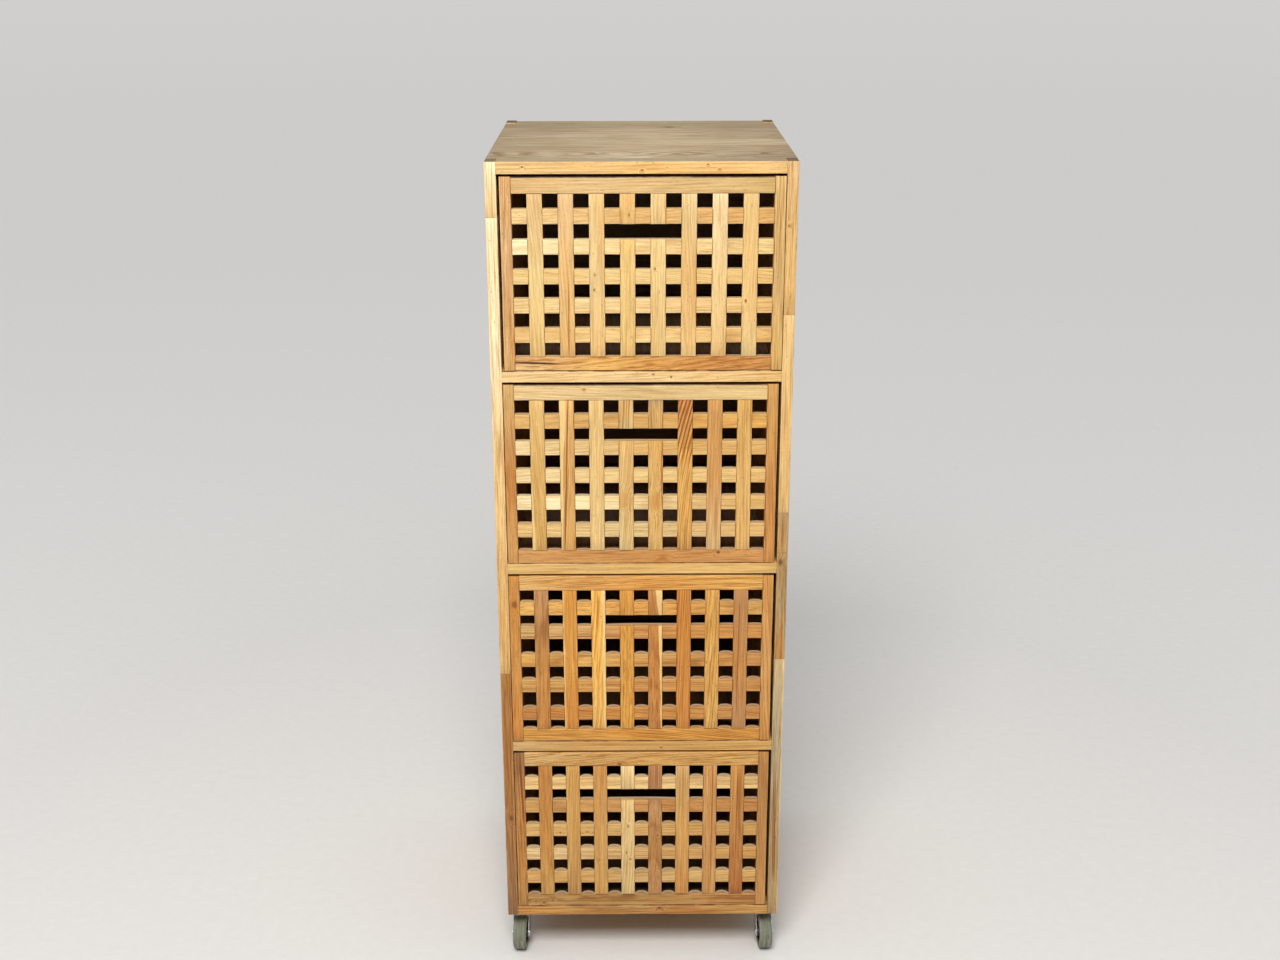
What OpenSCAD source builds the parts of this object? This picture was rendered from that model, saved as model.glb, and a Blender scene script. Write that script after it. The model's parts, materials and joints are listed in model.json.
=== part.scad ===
// Tall narrow chest of four drawers with lattice fronts, on four swivel castors.
// X runs to the right, the drawer fronts face -Y, and Z = 0 is the floor under the middle of the chest.

/* [Cabinet] */
// Width of the cabinet, outside
cabinet_w = 404; // [360:1:520]
// Depth of the cabinet, outside
cabinet_d = 430; // [360:1:520]
// Clear height of each drawer bay
bay_h = 260.5; // [236:0.5:300]
// Thickness of the top, the shelves and the bottom
board_t = 16; // [13:0.5:22]
// Thickness of the two sides: corner posts and panels
side_t = 15; // [12:0.5:20]
// Depth of a corner post
post_d = 30; // [22:1:40]
// How far the rear posts stand above the top
rear_post_proud = 1.2; // [0:0.1:2.5]

/* [Cabinet joints] */
// Depth of the housings in which the shelves sit
housing_depth = 4; // [2:0.5:6]
// Thickness of the tongues on the side panels
tongue_t = 5; // [3:0.5:6]
// Length of the tongues on the side panels
tongue_l = 6; // [3:0.5:10]
// Thickness of the back panel
back_t = 5; // [3:0.5:8]
// Distance from the back panel to the rear of the cabinet
back_inset = 5; // [3:0.5:8]
// Depth of the grooves that hold the back panel
back_groove = 5; // [3:0.5:7]

/* [Drawers] */
// Gap at each side of a drawer
side_gap = 2; // [1.6:0.1:4]
// Gap above a drawer
top_gap = 3; // [2:0.1:6]
// Running gap under a drawer
under_gap = 0.4; // [0.3:0.1:1]
// Space behind a shut drawer
rear_gap = 15; // [5:1:40]
// Thickness of the drawer sides, and width of the stiles before them
drawer_side_t = 15; // [11:0.5:18]
// Thickness of the drawer backs
drawer_back_t = 12; // [8:0.5:18]
// How far a drawer back stops below the top of the sides
drawer_back_drop = 14; // [0:1:60]
// Thickness of the drawer bottoms
drawer_bottom_t = 6; // [3:0.5:8]
// Height of a drawer bottom above the lower edge of the drawer
drawer_bottom_up = 8; // [5:0.5:10]
// Depth of the grooves that hold a drawer bottom
bottom_groove = 6; // [3:0.5:8]
// Rounding of the outer lower edge on which a drawer side runs
runner_r = 3; // [1:0.5:4]

/* [Lattice fronts] */
// Thickness of the lattice, its rails and its stiles
lattice_t = 11; // [8:0.5:18]
// Height of the top rail
top_rail_h = 22; // [14:0.5:28]
// Height of the bottom rail
bottom_rail_h = 19; // [18:0.5:28]
// Number of upright slats
upright_count = 8; // [4:2:10]
// Width of an upright slat
upright_w = 20; // [12:0.5:24]
// Number of cross slats
cross_count = 5; // [3:1:6]
// Height of a cross slat
cross_h = 20; // [12:0.5:22]
// Row of holes that holds the finger slot, counted from the top
slot_row = 2; // [2:1:3]

/* [Castor wheels] */
// Diameter of a wheel
wheel_d = 50; // [40:1:60]
// Width of a tyre
tyre_w = 19.5; // [16:0.5:24]
// Thickness of a tyre
tyre_t = 6; // [4:0.5:8]
// Rounding of the shoulders of a tyre
shoulder_r = 4; // [2:0.25:4]
// Diameter of an axle
axle_d = 6; // [5:0.5:8]
// Angle by which each wheel points outwards at rest
toe_out = 4; // [0:0.5:10]

/* [Castor forks and plates] */
// Distance from the swivel axis to the wheel axis
castor_trail = 26; // [20:0.5:34]
// Gap between a wheel and the crown of its fork
crown_gap = 8.5; // [5:0.5:12]
// Gap between a tyre and each leg of its fork
leg_gap = 1; // [0.8:0.1:5]
// Thickness of the pressed steel of a fork
fork_t = 1.5; // [1.2:0.1:3]
// Thickness of a mounting plate
plate_t = 2; // [1.5:0.1:3]
// Distance from the screws to the edges of their plate
plate_margin = 6; // [4:0.5:10]
// Diameter of the screws
screw_d = 3.5; // [3:0.1:4]
// Length of the screws under their heads
screw_l = 13; // [9:0.5:13]
// Diameter of a kingpin
kingpin_d = 8; // [6:0.5:9]
// Diameter of the balls in a swivel race
ball_d = 4; // [3:0.5:4.5]

/* [Hidden] */
$fn = 64;
cut = 1;                  // how far a cutting shape runs past the face that it cuts
joint_gap = 0.1;          // play of a tongue or a panel in its groove
running_gap = 0.3;        // gap between two pieces that turn past each other
pin_clear = 0.05;         // radial clearance of a pin, a screw or a ball in its seat

// Cabinet
bay_count = 4;
half_w = cabinet_w / 2;
half_d = cabinet_d / 2;
inner_half_w = half_w - side_t;
panel_half_d = half_d - post_d;
tongue_x = half_w - side_t / 2;
back_rear_y = half_d - back_inset;
back_front_y = back_rear_y - back_t;
bay_pitch = bay_h + board_t;
case_h = bay_count * bay_pitch + board_t;

// Drawers, each measured from its own front face and lower edge
drawer_half_w = inner_half_w - side_gap;
drawer_h = bay_h - top_gap - under_gap;
drawer_d = half_d + back_front_y - rear_gap;
drawer_floor_z = drawer_bottom_up + drawer_bottom_t;
drawer_lean = [0.8, -0.8, -0.8, -0.8];   // share of the side gap by which each drawer sits off centre

// Lattice, with its uprights counted from the left and its cross slats from the top, both from 0
lattice_half_w = drawer_half_w - drawer_side_t;
hole_w = (2 * lattice_half_w - upright_count * upright_w) / (upright_count + 1);
hole_h = (drawer_h - top_rail_h - bottom_rail_h - cross_count * cross_h) / (cross_count + 1);
lap_t = lattice_t / 2;
slot_uprights = [upright_count / 2 - 1, upright_count / 2];
slot_cross = slot_row - 1;               // the cross slat under the finger slot
// How far each hand-set cross slat lies below its even place, drawer by drawer
slat_drops = [
  [0, 0.5, 0.5, 0, 0.5],
  [0.5, -1, -0.5, -1, 0],
  [-1.5, -4.5, -0.5, 0, 5],
  [-1, -2, -1.5, -1, -0.5]
];

// Castor wheels
wheel_r = wheel_d / 2;
rim_r = wheel_r - tyre_t;
axle_r = axle_d / 2;
axle_hole_r = axle_r + pin_clear;
axle_head_r = axle_r + 2;
axle_head_t = 2;
hub_boss_r = axle_r + 4;
hub_rim_t = 3;
hub_rim_inset = 1;
hub_web_t = 7;
hub_seat_gap = 0.2;                      // between the hub's rim and the tyre round it

// Castor forks, from the floor up, with the wheel on the -Y side of the swivel axis
leg_inner_x = tyre_w / 2 + leg_gap;
leg_outer_x = leg_inner_x + fork_t;
leg_end_r = axle_r + 4;
kingpin_r = kingpin_d / 2;
kingpin_hole_r = kingpin_r + pin_clear;
kingpin_head_r = kingpin_r + 1.5;
kingpin_head_t = plate_t / 2;
kingpin_foot_r = kingpin_r + 2.5;
kingpin_foot_t = 3;
ball_r = ball_d / 2;
race_wall = 3.5;
race_rim = 1.5;
race_pitch_r = kingpin_r + race_wall + ball_r;
race_r = race_pitch_r + ball_r + race_rim;
race_groove_r = ball_r + pin_clear;
race_gap = ball_r;
race_upper_t = 1.6;
race_lower_t = 3.4;
ball_spacing = 1.25;                     // from ball to ball, in ball diameters
ball_count = floor(2 * PI * race_pitch_r / (ball_spacing * ball_d));
crown_r = race_r + 2;
leg_top_half = race_r;
crown_z = wheel_d + crown_gap;
cup_z = crown_z + fork_t;
ball_z = cup_z + race_lower_t + race_gap / 2;
race_upper_z = ball_z + race_gap / 2;
plate_z = race_upper_z + race_upper_t;

// Castor plates and their screws
case_z = plate_z + plate_t;
screw_r = screw_d / 2;
screw_hole_r = screw_r + pin_clear;
screw_head_r = screw_d;
screw_head_t = 2;
screw_slot_w = 0.8;
screw_slot_t = 1;
screw_tip_l = 4;
screw_head_gap = 0.5;                    // from a screw head to the race
screw_half = (race_r + screw_head_gap + screw_head_r) / sqrt(2);
pilot_over = 1;                          // how much deeper a pilot hole is than its screw
plate_half = screw_half + plate_margin;
plate_corner_r = 3;
plate_edge_gap = 1;                      // from a plate to the outer face of the cabinet
post_screw_gap = 4;                      // from a corner post to the centre of the nearest screw
swivel_x = half_w - plate_edge_gap - plate_half;
swivel_y = panel_half_d - post_screw_gap - screw_half;

// Whole chest
panel_z = case_z + board_t;
top_z = case_z + case_h;
panel_top_z = top_z - board_t;

// Finishes
honey_teak = [0.80, 0.60, 0.36];
orange_teak = [0.74, 0.50, 0.27];
grey_teak = [0.62, 0.52, 0.38];
thin_ply = [0.70, 0.56, 0.38];
zinc = [0.66, 0.67, 0.68];
steel = [0.55, 0.56, 0.58];
grey_rubber = [0.47, 0.49, 0.43];
black_plastic = [0.10, 0.10, 0.10];

SIDES = ["left", "right"];
ENDS = ["front", "rear"];
DRAWER_PIECES = ["side_left", "side_right", "back", "bottom", "rails", "uprights", "cross_slats"];
CASTOR_PIECES = ["fork", "axle", "hub", "tyre"];

function sign_of(place) = place == "left" || place == "front" ? -1 : 1;
function bay_floor_z(n) = panel_top_z - (n - 1) * bay_pitch - bay_h;
function drop(n, k) = k < len(slat_drops[n - 1]) ? slat_drops[n - 1][k] : 0;
function cross_top(n, k) = drawer_h - top_rail_h - hole_h - k * (hole_h + cross_h) - drop(n, k);
function cross_low(n, k) = cross_top(n, k) - cross_h;
function upright_x(i) = hole_w - lattice_half_w + i * (hole_w + upright_w);
function by_slot(i) = i == slot_uprights[0] || i == slot_uprights[1];
function castor_turn(sx, sy) = sy < 0 ? sx * toe_out : 180 - sx * toe_out;

// A box from its lowest corner to its highest.
module block(low, high) {
  translate(low) cube(high - low);
}

// A child made for the right side or the rear, put where the signs say.
module mirror_to(sx, sy = 1) {
  mirror([sx < 0 ? 1 : 0, 0, 0]) mirror([0, sy < 0 ? 1 : 0, 0]) children();
}

// ---- Cabinet ----

// A full-size board from height z, cut away round the posts; the back panel's groove starts at groove_z.
module cornered_board(z, groove_z) {
  difference() {
    block([-half_w, -half_d, z], [half_w, half_d, z + board_t]);
    for (sx = [-1, 1], sy = [-1, 1])
      mirror_to(sx, sy)
        block([inner_half_w, panel_half_d, z - cut], [half_w + cut, half_d + cut, z + board_t + cut]);
    block([-half_w, back_front_y - joint_gap, groove_z],
          [half_w, back_rear_y + joint_gap, groove_z + back_groove + cut]);
  }
}

module top_board() {
  color(grey_teak) cornered_board(panel_top_z, panel_top_z - cut);
}

module bottom_board() {
  color(honey_teak)
    difference() {
      cornered_board(case_z, panel_z - back_groove);
      for (sx = [-1, 1], sy = [-1, 1])
        translate([sx * swivel_x, sy * swivel_y, case_z - cut])
          at_screws() cylinder(r = screw_hole_r, h = cut + screw_l - plate_t + pilot_over);
    }
}

// Shelf n lies under drawer n, with its ends housed in the side panels.
module shelf(n) {
  z = bay_floor_z(n) - board_t;
  wing_x = inner_half_w + housing_depth - joint_gap;
  color(honey_teak) {
    block([-inner_half_w, -half_d, z], [inner_half_w, back_front_y, z + board_t]);
    block([-wing_x, -panel_half_d, z], [wing_x, panel_half_d, z + board_t]);
  }
}

module back_panel() {
  edge_x = inner_half_w + back_groove - joint_gap;
  edge_z = back_groove - joint_gap;
  color(thin_ply)
    block([-edge_x, back_front_y, panel_z - edge_z], [edge_x, back_rear_y, panel_top_z + edge_z]);
}

module side_panel(sx) {
  color(honey_teak)
    mirror_to(sx)
      difference() {
        union() {
          block([inner_half_w, -panel_half_d, panel_z], [half_w, panel_half_d, panel_top_z]);
          block([tongue_x - tongue_t / 2, -panel_half_d - tongue_l, panel_z],
                [tongue_x + tongue_t / 2, panel_half_d + tongue_l, panel_top_z]);
        }
        for (n = [1:bay_count - 1])
          block([inner_half_w - cut, -panel_half_d - cut, bay_floor_z(n) - board_t],
                [inner_half_w + housing_depth, panel_half_d + cut, bay_floor_z(n)]);
      }
}

module post(sx, sy) {
  proud = sy > 0 ? rear_post_proud : 0;
  slot_half = tongue_t / 2 + joint_gap;
  color(honey_teak)
    mirror_to(sx, sy)
      difference() {
        block([inner_half_w, panel_half_d, case_z], [half_w, half_d, top_z + proud]);
        block([tongue_x - slot_half, panel_half_d - cut, panel_z],
              [tongue_x + slot_half, panel_half_d + tongue_l + joint_gap, panel_top_z]);
        if (sy > 0)
          block([inner_half_w - cut, back_front_y - joint_gap, panel_z - back_groove],
                [inner_half_w + back_groove, back_rear_y + joint_gap, panel_top_z + back_groove]);
      }
}

// ---- Drawers ----

// Puts a piece made from a drawer's front face and lower edge into bay n.
module in_bay(n) {
  translate([drawer_lean[n - 1] * side_gap, -half_d, bay_floor_z(n) + under_gap]) children();
}

module drawer_side(n, sx) {
  color(orange_teak)
    in_bay(n) mirror_to(sx)
      difference() {
        union() {
          block([lattice_half_w, lattice_t, runner_r], [drawer_half_w, drawer_d, drawer_h]);
          block([lattice_half_w, lattice_t, 0], [drawer_half_w - runner_r, drawer_d, drawer_h]);
          translate([drawer_half_w - runner_r, lattice_t, runner_r])
            rotate([-90, 0, 0]) cylinder(r = runner_r, h = drawer_d - lattice_t);
        }
        block([lattice_half_w - cut, lattice_t - cut, drawer_bottom_up - joint_gap],
              [lattice_half_w + bottom_groove, drawer_d + cut, drawer_floor_z + joint_gap]);
      }
}

module drawer_back(n) {
  color(honey_teak)
    in_bay(n)
      block([-lattice_half_w, drawer_d - drawer_back_t, drawer_floor_z],
            [lattice_half_w, drawer_d, drawer_h - drawer_back_drop]);
}

module drawer_bottom(n) {
  edge_x = lattice_half_w + bottom_groove - joint_gap;
  color(thin_ply)
    in_bay(n) block([-edge_x, lattice_t, drawer_bottom_up], [edge_x, drawer_d, drawer_floor_z]);
}

module drawer_rails(n) {
  color(honey_teak)
    in_bay(n) {
      block([-lattice_half_w, 0, drawer_h - top_rail_h], [lattice_half_w, lattice_t, drawer_h]);
      block([-lattice_half_w, 0, 0], [lattice_half_w, lattice_t, bottom_rail_h]);
    }
}

// An upright slat, halved at the back over each cross slat that it meets.
module upright(n, i, low, high) {
  x = upright_x(i);
  difference() {
    block([x, 0, low], [x + upright_w, lattice_t, high]);
    for (k = [0:cross_count - 1])
      block([x - cut, lap_t, cross_low(n, k)], [x + upright_w + cut, lattice_t + cut, cross_top(n, k)]);
  }
}

// The two stiles of a front and its upright slats, those by the finger slot cut in two.
module drawer_uprights(n) {
  top = drawer_h - top_rail_h;
  color(honey_teak)
    in_bay(n) {
      for (sx = [-1, 1])
        mirror_to(sx) block([lattice_half_w, 0, 0], [drawer_half_w, lattice_t, drawer_h]);
      for (i = [0:upright_count - 1])
        if (by_slot(i)) {
          upright(n, i, cross_low(n, slot_cross - 1), top);
          upright(n, i, bottom_rail_h, cross_top(n, slot_cross));
        } else
          upright(n, i, bottom_rail_h, top);
    }
}

module drawer_cross_slats(n) {
  color(orange_teak)
    in_bay(n)
      for (k = [0:cross_count - 1])
        difference() {
          block([-lattice_half_w, 0, cross_low(n, k)], [lattice_half_w, lattice_t, cross_top(n, k)]);
          for (i = [0:upright_count - 1])
            block([upright_x(i), -cut, cross_low(n, k) - cut],
                  [upright_x(i) + upright_w, lap_t, cross_top(n, k) + cut]);
        }
}

// ---- Castors ----

module at_each_castor() {
  for (sx = [-1, 1], sy = [-1, 1]) translate([sx * swivel_x, sy * swivel_y, 0]) children();
}

module at_screws() {
  for (x = [-screw_half, screw_half], y = [-screw_half, screw_half]) translate([x, y, 0]) children();
}

// Puts a piece made round its own swivel axis under one corner, its wheel pointing out at the front or rear.
module at_castor(sx, sy) {
  translate([sx * swivel_x, sy * swivel_y, 0]) rotate([0, 0, castor_turn(sx, sy)]) children();
}

// Puts a shape made round the Z axis on the wheel's axis.
module on_axle() {
  translate([0, -castor_trail, wheel_r]) rotate([0, 90, 0]) children();
}

module race_groove() {
  rotate_extrude() translate([race_pitch_r, ball_z]) circle(r = race_groove_r);
}

module plate_outline() {
  square([2 * plate_half, 2 * (plate_half - plate_corner_r)], center = true);
  square([2 * (plate_half - plate_corner_r), 2 * plate_half], center = true);
  for (sx = [-1, 1], sy = [-1, 1])
    translate([sx, sy] * (plate_half - plate_corner_r)) circle(r = plate_corner_r);
}

module castor_plates() {
  color(zinc)
    at_each_castor()
      difference() {
        union() {
          translate([0, 0, plate_z]) linear_extrude(plate_t) plate_outline();
          translate([0, 0, race_upper_z]) cylinder(r = race_r, h = race_upper_t + plate_t);
        }
        race_groove();
        translate([0, 0, race_upper_z - cut])
          cylinder(r = kingpin_hole_r, h = race_upper_t + plate_t + 2 * cut);
        translate([0, 0, case_z - kingpin_head_t])
          cylinder(r = kingpin_head_r + pin_clear, h = kingpin_head_t + cut);
        translate([0, 0, plate_z - cut]) at_screws() cylinder(r = screw_hole_r, h = plate_t + 2 * cut);
      }
}

module castor_screws() {
  color(steel)
    at_each_castor()
      at_screws()
        difference() {
          union() {
            translate([0, 0, plate_z - screw_head_t]) cylinder(r = screw_head_r, h = screw_head_t);
            translate([0, 0, plate_z - screw_head_t])
              cylinder(r = screw_r, h = screw_head_t + screw_l - screw_tip_l);
            translate([0, 0, plate_z + screw_l - screw_tip_l])
              cylinder(r1 = screw_r, r2 = 0, h = screw_tip_l);
          }
          block([-screw_d - cut, -screw_slot_w / 2, plate_z - screw_head_t - cut],
                [screw_d + cut, screw_slot_w / 2, plate_z - screw_head_t + screw_slot_t]);
        }
}

module castor_kingpins() {
  foot_z = crown_z - running_gap - kingpin_foot_t;
  color(steel)
    at_each_castor() {
      translate([0, 0, foot_z]) cylinder(r = kingpin_foot_r, h = kingpin_foot_t);
      translate([0, 0, foot_z]) cylinder(r = kingpin_r, h = case_z - foot_z);
      translate([0, 0, case_z - kingpin_head_t]) cylinder(r = kingpin_head_r, h = kingpin_head_t);
    }
}

module swivel_balls() {
  color(steel)
    at_each_castor()
      for (i = [0:ball_count - 1])
        rotate([0, 0, i * 360 / ball_count]) translate([race_pitch_r, 0, ball_z]) sphere(r = ball_r);
}

// One leg of a fork, seen from the side: wide at the crown, round at the axle.
module leg_outline() {
  axle = [-castor_trail, wheel_r];
  up = ([0, cup_z] - axle) / norm([0, cup_z] - axle);
  edge = leg_end_r * [-up.y, up.x];
  polygon([axle + edge, axle - edge, [leg_top_half, cup_z], [-leg_top_half, cup_z]]);
  translate(axle) circle(r = leg_end_r);
}

module castor_fork(sx, sy) {
  color(zinc)
    at_castor(sx, sy)
      difference() {
        union() {
          translate([0, 0, crown_z]) cylinder(r = crown_r, h = fork_t);
          translate([0, 0, crown_z]) cylinder(r = race_r, h = fork_t + race_lower_t);
          block([-leg_outer_x, -leg_top_half, crown_z], [leg_outer_x, leg_top_half, cup_z]);
          for (x = [-leg_outer_x, leg_inner_x])
            translate([x, 0, 0]) rotate([90, 0, 90]) linear_extrude(fork_t) leg_outline();
        }
        race_groove();
        translate([0, 0, crown_z - cut]) cylinder(r = kingpin_hole_r, h = fork_t + race_lower_t + 2 * cut);
        on_axle() cylinder(r = axle_hole_r, h = 2 * (leg_outer_x + cut), center = true);
      }
}

module castor_axle(sx, sy) {
  color(steel)
    at_castor(sx, sy)
      on_axle() {
        cylinder(r = axle_r, h = 2 * (leg_outer_x + axle_head_t), center = true);
        for (z = [-leg_outer_x - axle_head_t, leg_outer_x])
          translate([0, 0, z]) cylinder(r = axle_head_r, h = axle_head_t);
      }
}

// A solid of revolution round the axle, centred on the wheel: radii from the axis, widths across the wheel.
module wheel_ring(inner_r, outer_r, width) {
  translate([inner_r, -width / 2]) square([outer_r - inner_r, width]);
}

module castor_hub(sx, sy) {
  seat_r = rim_r - hub_seat_gap;
  color(black_plastic)
    at_castor(sx, sy)
      on_axle()
        rotate_extrude() {
          wheel_ring(axle_hole_r, hub_boss_r, 2 * (leg_inner_x - running_gap));
          wheel_ring(axle_hole_r, seat_r, hub_web_t);
          wheel_ring(seat_r - hub_rim_t, seat_r, tyre_w - 2 * hub_rim_inset);
        }
}

// A tyre's section: a band on the rim, with round shoulders.
module tyre_section() {
  intersection() {
    wheel_ring(rim_r, wheel_r, tyre_w);
    union() {
      wheel_ring(rim_r - cut, wheel_r - shoulder_r, tyre_w);
      wheel_ring(rim_r - cut, wheel_r, tyre_w - 2 * shoulder_r);
      for (s = [-1, 1])
        translate([wheel_r - shoulder_r, s * (tyre_w / 2 - shoulder_r)]) circle(r = shoulder_r);
    }
  }
}

module castor_tyre(sx, sy) {
  color(grey_rubber) at_castor(sx, sy) on_axle() rotate_extrude() tyre_section();
}

top_board();
bottom_board();
back_panel();
for (n = [1:bay_count - 1])
  shelf(n);
for (side = SIDES)
  side_panel(sign_of(side));
for (end = ENDS, side = SIDES)
  post(sign_of(side), sign_of(end));
for (n = [1:bay_count]) {
  drawer_side(n, -1);
  drawer_side(n, 1);
  drawer_back(n);
  drawer_bottom(n);
  drawer_rails(n);
  drawer_uprights(n);
  drawer_cross_slats(n);
}
castor_plates();
castor_screws();
castor_kingpins();
swivel_balls();
for (end = ENDS, side = SIDES) {
  castor_fork(sign_of(side), sign_of(end));
  castor_axle(sign_of(side), sign_of(end));
  castor_hub(sign_of(side), sign_of(end));
  castor_tyre(sign_of(side), sign_of(end));
}
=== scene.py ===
import json
import math

import bpy
import numpy as np
from mathutils import Matrix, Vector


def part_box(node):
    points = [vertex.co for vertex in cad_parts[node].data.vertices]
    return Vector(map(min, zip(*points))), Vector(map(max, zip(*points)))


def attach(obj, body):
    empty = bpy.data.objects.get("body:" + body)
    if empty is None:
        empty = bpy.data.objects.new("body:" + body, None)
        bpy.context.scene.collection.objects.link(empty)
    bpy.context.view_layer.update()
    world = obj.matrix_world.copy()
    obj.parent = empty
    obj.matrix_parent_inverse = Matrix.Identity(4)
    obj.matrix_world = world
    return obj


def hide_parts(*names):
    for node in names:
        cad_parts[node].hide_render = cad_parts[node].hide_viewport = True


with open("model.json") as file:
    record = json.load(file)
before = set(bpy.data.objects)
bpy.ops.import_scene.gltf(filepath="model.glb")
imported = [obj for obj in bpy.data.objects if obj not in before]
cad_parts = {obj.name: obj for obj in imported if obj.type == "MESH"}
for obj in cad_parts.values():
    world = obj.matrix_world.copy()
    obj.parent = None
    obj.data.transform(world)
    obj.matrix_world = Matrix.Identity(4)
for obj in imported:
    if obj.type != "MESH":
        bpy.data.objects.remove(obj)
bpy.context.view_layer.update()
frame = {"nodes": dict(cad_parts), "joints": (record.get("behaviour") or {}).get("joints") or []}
joints = {joint["name"]: joint for joint in frame["joints"]}
print("frame loaded:", len(frame["nodes"]), "nodes")

camera = {
    "focal": 45.765,  # mm on a 36 mm wide sensor
    "place": (-0.0141, -2.3112, 1.4898),  # m, standing height before the chest
    "down": 19.19,  # degrees below level
    "turn": 0.308,  # degrees to the right
    "roll": -0.108,  # degrees
}


def makeCamera():
    # Columns of the camera's matrix: right, up and back, from the three angles.
    down, turn, roll = (math.radians(camera[key]) for key in ("down", "turn", "roll"))
    level = np.array([math.sin(turn), math.cos(turn), 0])
    side = np.array([math.cos(turn), -math.sin(turn), 0])
    up = np.array([0, 0, 1])
    ahead = math.cos(down) * level - math.sin(down) * up
    below = -math.sin(down) * level - math.cos(down) * up
    right = math.cos(roll) * side - math.sin(roll) * below
    bottom = math.sin(roll) * side + math.cos(roll) * below
    data = bpy.data.cameras.new("camera")
    data.lens = camera["focal"]
    data.sensor_width = 36
    data.clip_end = 200
    made = bpy.data.objects.new("camera", data)
    bpy.context.scene.collection.objects.link(made)
    matrix = np.eye(4)
    matrix[:3, 0], matrix[:3, 1], matrix[:3, 2], matrix[:3, 3] = right, -bottom, -ahead, camera["place"]
    made.matrix_world = Matrix(matrix.tolist())
    bpy.context.scene.camera = made


makeCamera()
print("camera placed")


teakTones = {  # sRGB bytes, as each tone looks on a slat in the middle of the chest
    "ivory": (254, 236, 192),
    "cream": (238, 211, 158),
    "straw": (232, 200, 138),
    "sand": (222, 195, 138),
    "honey": (224, 183, 116),
    "gold": (237, 183, 88),
    "wheat": (224, 175, 94),
    "peach": (220, 176, 108),
    "amber": (218, 157, 77),
    "ochre": (214, 155, 70),
    "orange": (204, 146, 74),
    "copper": (206, 138, 62),
    "rust": (195, 138, 73),
    "russet": (192, 129, 64),
    "maroon": (176, 111, 55),
    "rosy": (204, 151, 87),
    "pink": (219, 181, 127),
    "tan": (208, 163, 93),
    "khaki": (209, 172, 112),
    "drab": (178, 148, 102),
    "fawn": (188, 146, 86),
    "umber": (177, 127, 67),
    "walnut": (150, 108, 68),
    "reed": (200, 174, 128),
    "weathered": (164, 149, 118),
    "bleached": (187, 174, 146),
    "dulled": (150, 131, 101),
    "bare": (150, 110, 70),
    "ply": (181, 137, 83),
    # painted shade: a near-black brown for faces that lie in shadow
    "dusk": (70, 52, 36),
    "greyed": (152, 136, 106),
    "smoke": (168, 140, 118),
    "mauve": (188, 139, 92),
    "corn": (238, 197, 128),
}


def linear(rgb):  # sRGB bytes to the linear values that a shader takes
    share = np.asarray(rgb, float) / 255
    return np.where(share <= 0.04045, share / 12.92, ((share + 0.055) / 1.055) ** 2.4)


def feed(tree, target, value):
    if isinstance(value, bpy.types.NodeSocket):
        tree.links.new(value, target)
    else:
        target.default_value = value


def calc(tree, operation, *values, clamp=False):
    made = tree.nodes.new("ShaderNodeMath")
    made.operation = operation
    made.use_clamp = clamp
    for target, value in zip(made.inputs, values):
        feed(tree, target, value)
    return made.outputs[0]


def vector(tree, operation, *values):
    made = tree.nodes.new("ShaderNodeVectorMath")
    made.operation = operation
    for target, value in zip(made.inputs, values):
        feed(tree, target, value)
    return made.outputs["Value" if operation in ("LENGTH", "DOT_PRODUCT") else "Vector"]


def split(tree, value):
    made = tree.nodes.new("ShaderNodeSeparateXYZ")
    feed(tree, made.inputs[0], value)
    return made.outputs


def pack(tree, x, y, z):
    made = tree.nodes.new("ShaderNodeCombineXYZ")
    for target, value in zip(made.inputs, (x, y, z)):
        feed(tree, target, value)
    return made.outputs[0]


def mask(tree, value, low, high):  # 0 at low, 1 at high, smooth between them, whichever is larger
    made = tree.nodes.new("ShaderNodeMapRange")
    made.interpolation_type = "SMOOTHSTEP"
    for target, given in zip(made.inputs, (value, low, high, 0.0, 1.0)):
        feed(tree, target, given)
    return made.outputs[0]


def mix(tree, factor, first, second, kind="MIX"):
    made = tree.nodes.new("ShaderNodeMix")
    made.data_type = "RGBA"
    made.blend_type = kind
    for index, value in ((0, factor), (6, first), (7, second)):
        feed(tree, made.inputs[index], value)
    return made.outputs[2]


# about 0.5 on average, with its features 1/stretch metres long
def noise(tree, place, stretch, detail=2.0, roughness=0.5):
    made = tree.nodes.new("ShaderNodeTexNoise")
    feed(tree, made.inputs["Vector"], vector(tree, "MULTIPLY", place, stretch))
    made.inputs["Scale"].default_value = 1.0
    made.inputs["Detail"].default_value = detail
    made.inputs["Roughness"].default_value = roughness
    return made.outputs["Fac"]


def ramp(tree, value, stops):
    made = tree.nodes.new("ShaderNodeValToRGB")
    feed(tree, made.inputs[0], value)
    while len(made.color_ramp.elements) < len(stops):
        made.color_ramp.elements.new(0.5)
    for element, (place, grey) in zip(made.color_ramp.elements, stops):
        element.position = place
        element.color = (grey, grey, grey, 1)
    return made.outputs[0]


def attribute(tree, name, output="Vector"):
    made = tree.nodes.new("ShaderNodeAttribute")
    made.attribute_name = name
    return made.outputs[output]


def objectPlace(tree):
    return tree.nodes.new("ShaderNodeTexCoord").outputs["Object"]


def newGroup(name, inputs, outputs):
    tree = bpy.data.node_groups.new(name, "ShaderNodeTree")
    for label, kind, value in inputs:
        socket = tree.interface.new_socket(label, in_out="INPUT", socket_type="NodeSocket" + kind)
        if value is not None:
            socket.default_value = value
    for label, kind in outputs:
        tree.interface.new_socket(label, in_out="OUTPUT", socket_type="NodeSocket" + kind)
    return tree, tree.nodes.new("NodeGroupInput").outputs, tree.nodes.new("NodeGroupOutput").inputs


def useGroup(tree, group, values):
    made = tree.nodes.new("ShaderNodeGroup")
    made.node_tree = group
    for label, value in values.items():
        feed(tree, made.inputs[label], value)
    return made.outputs


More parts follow.
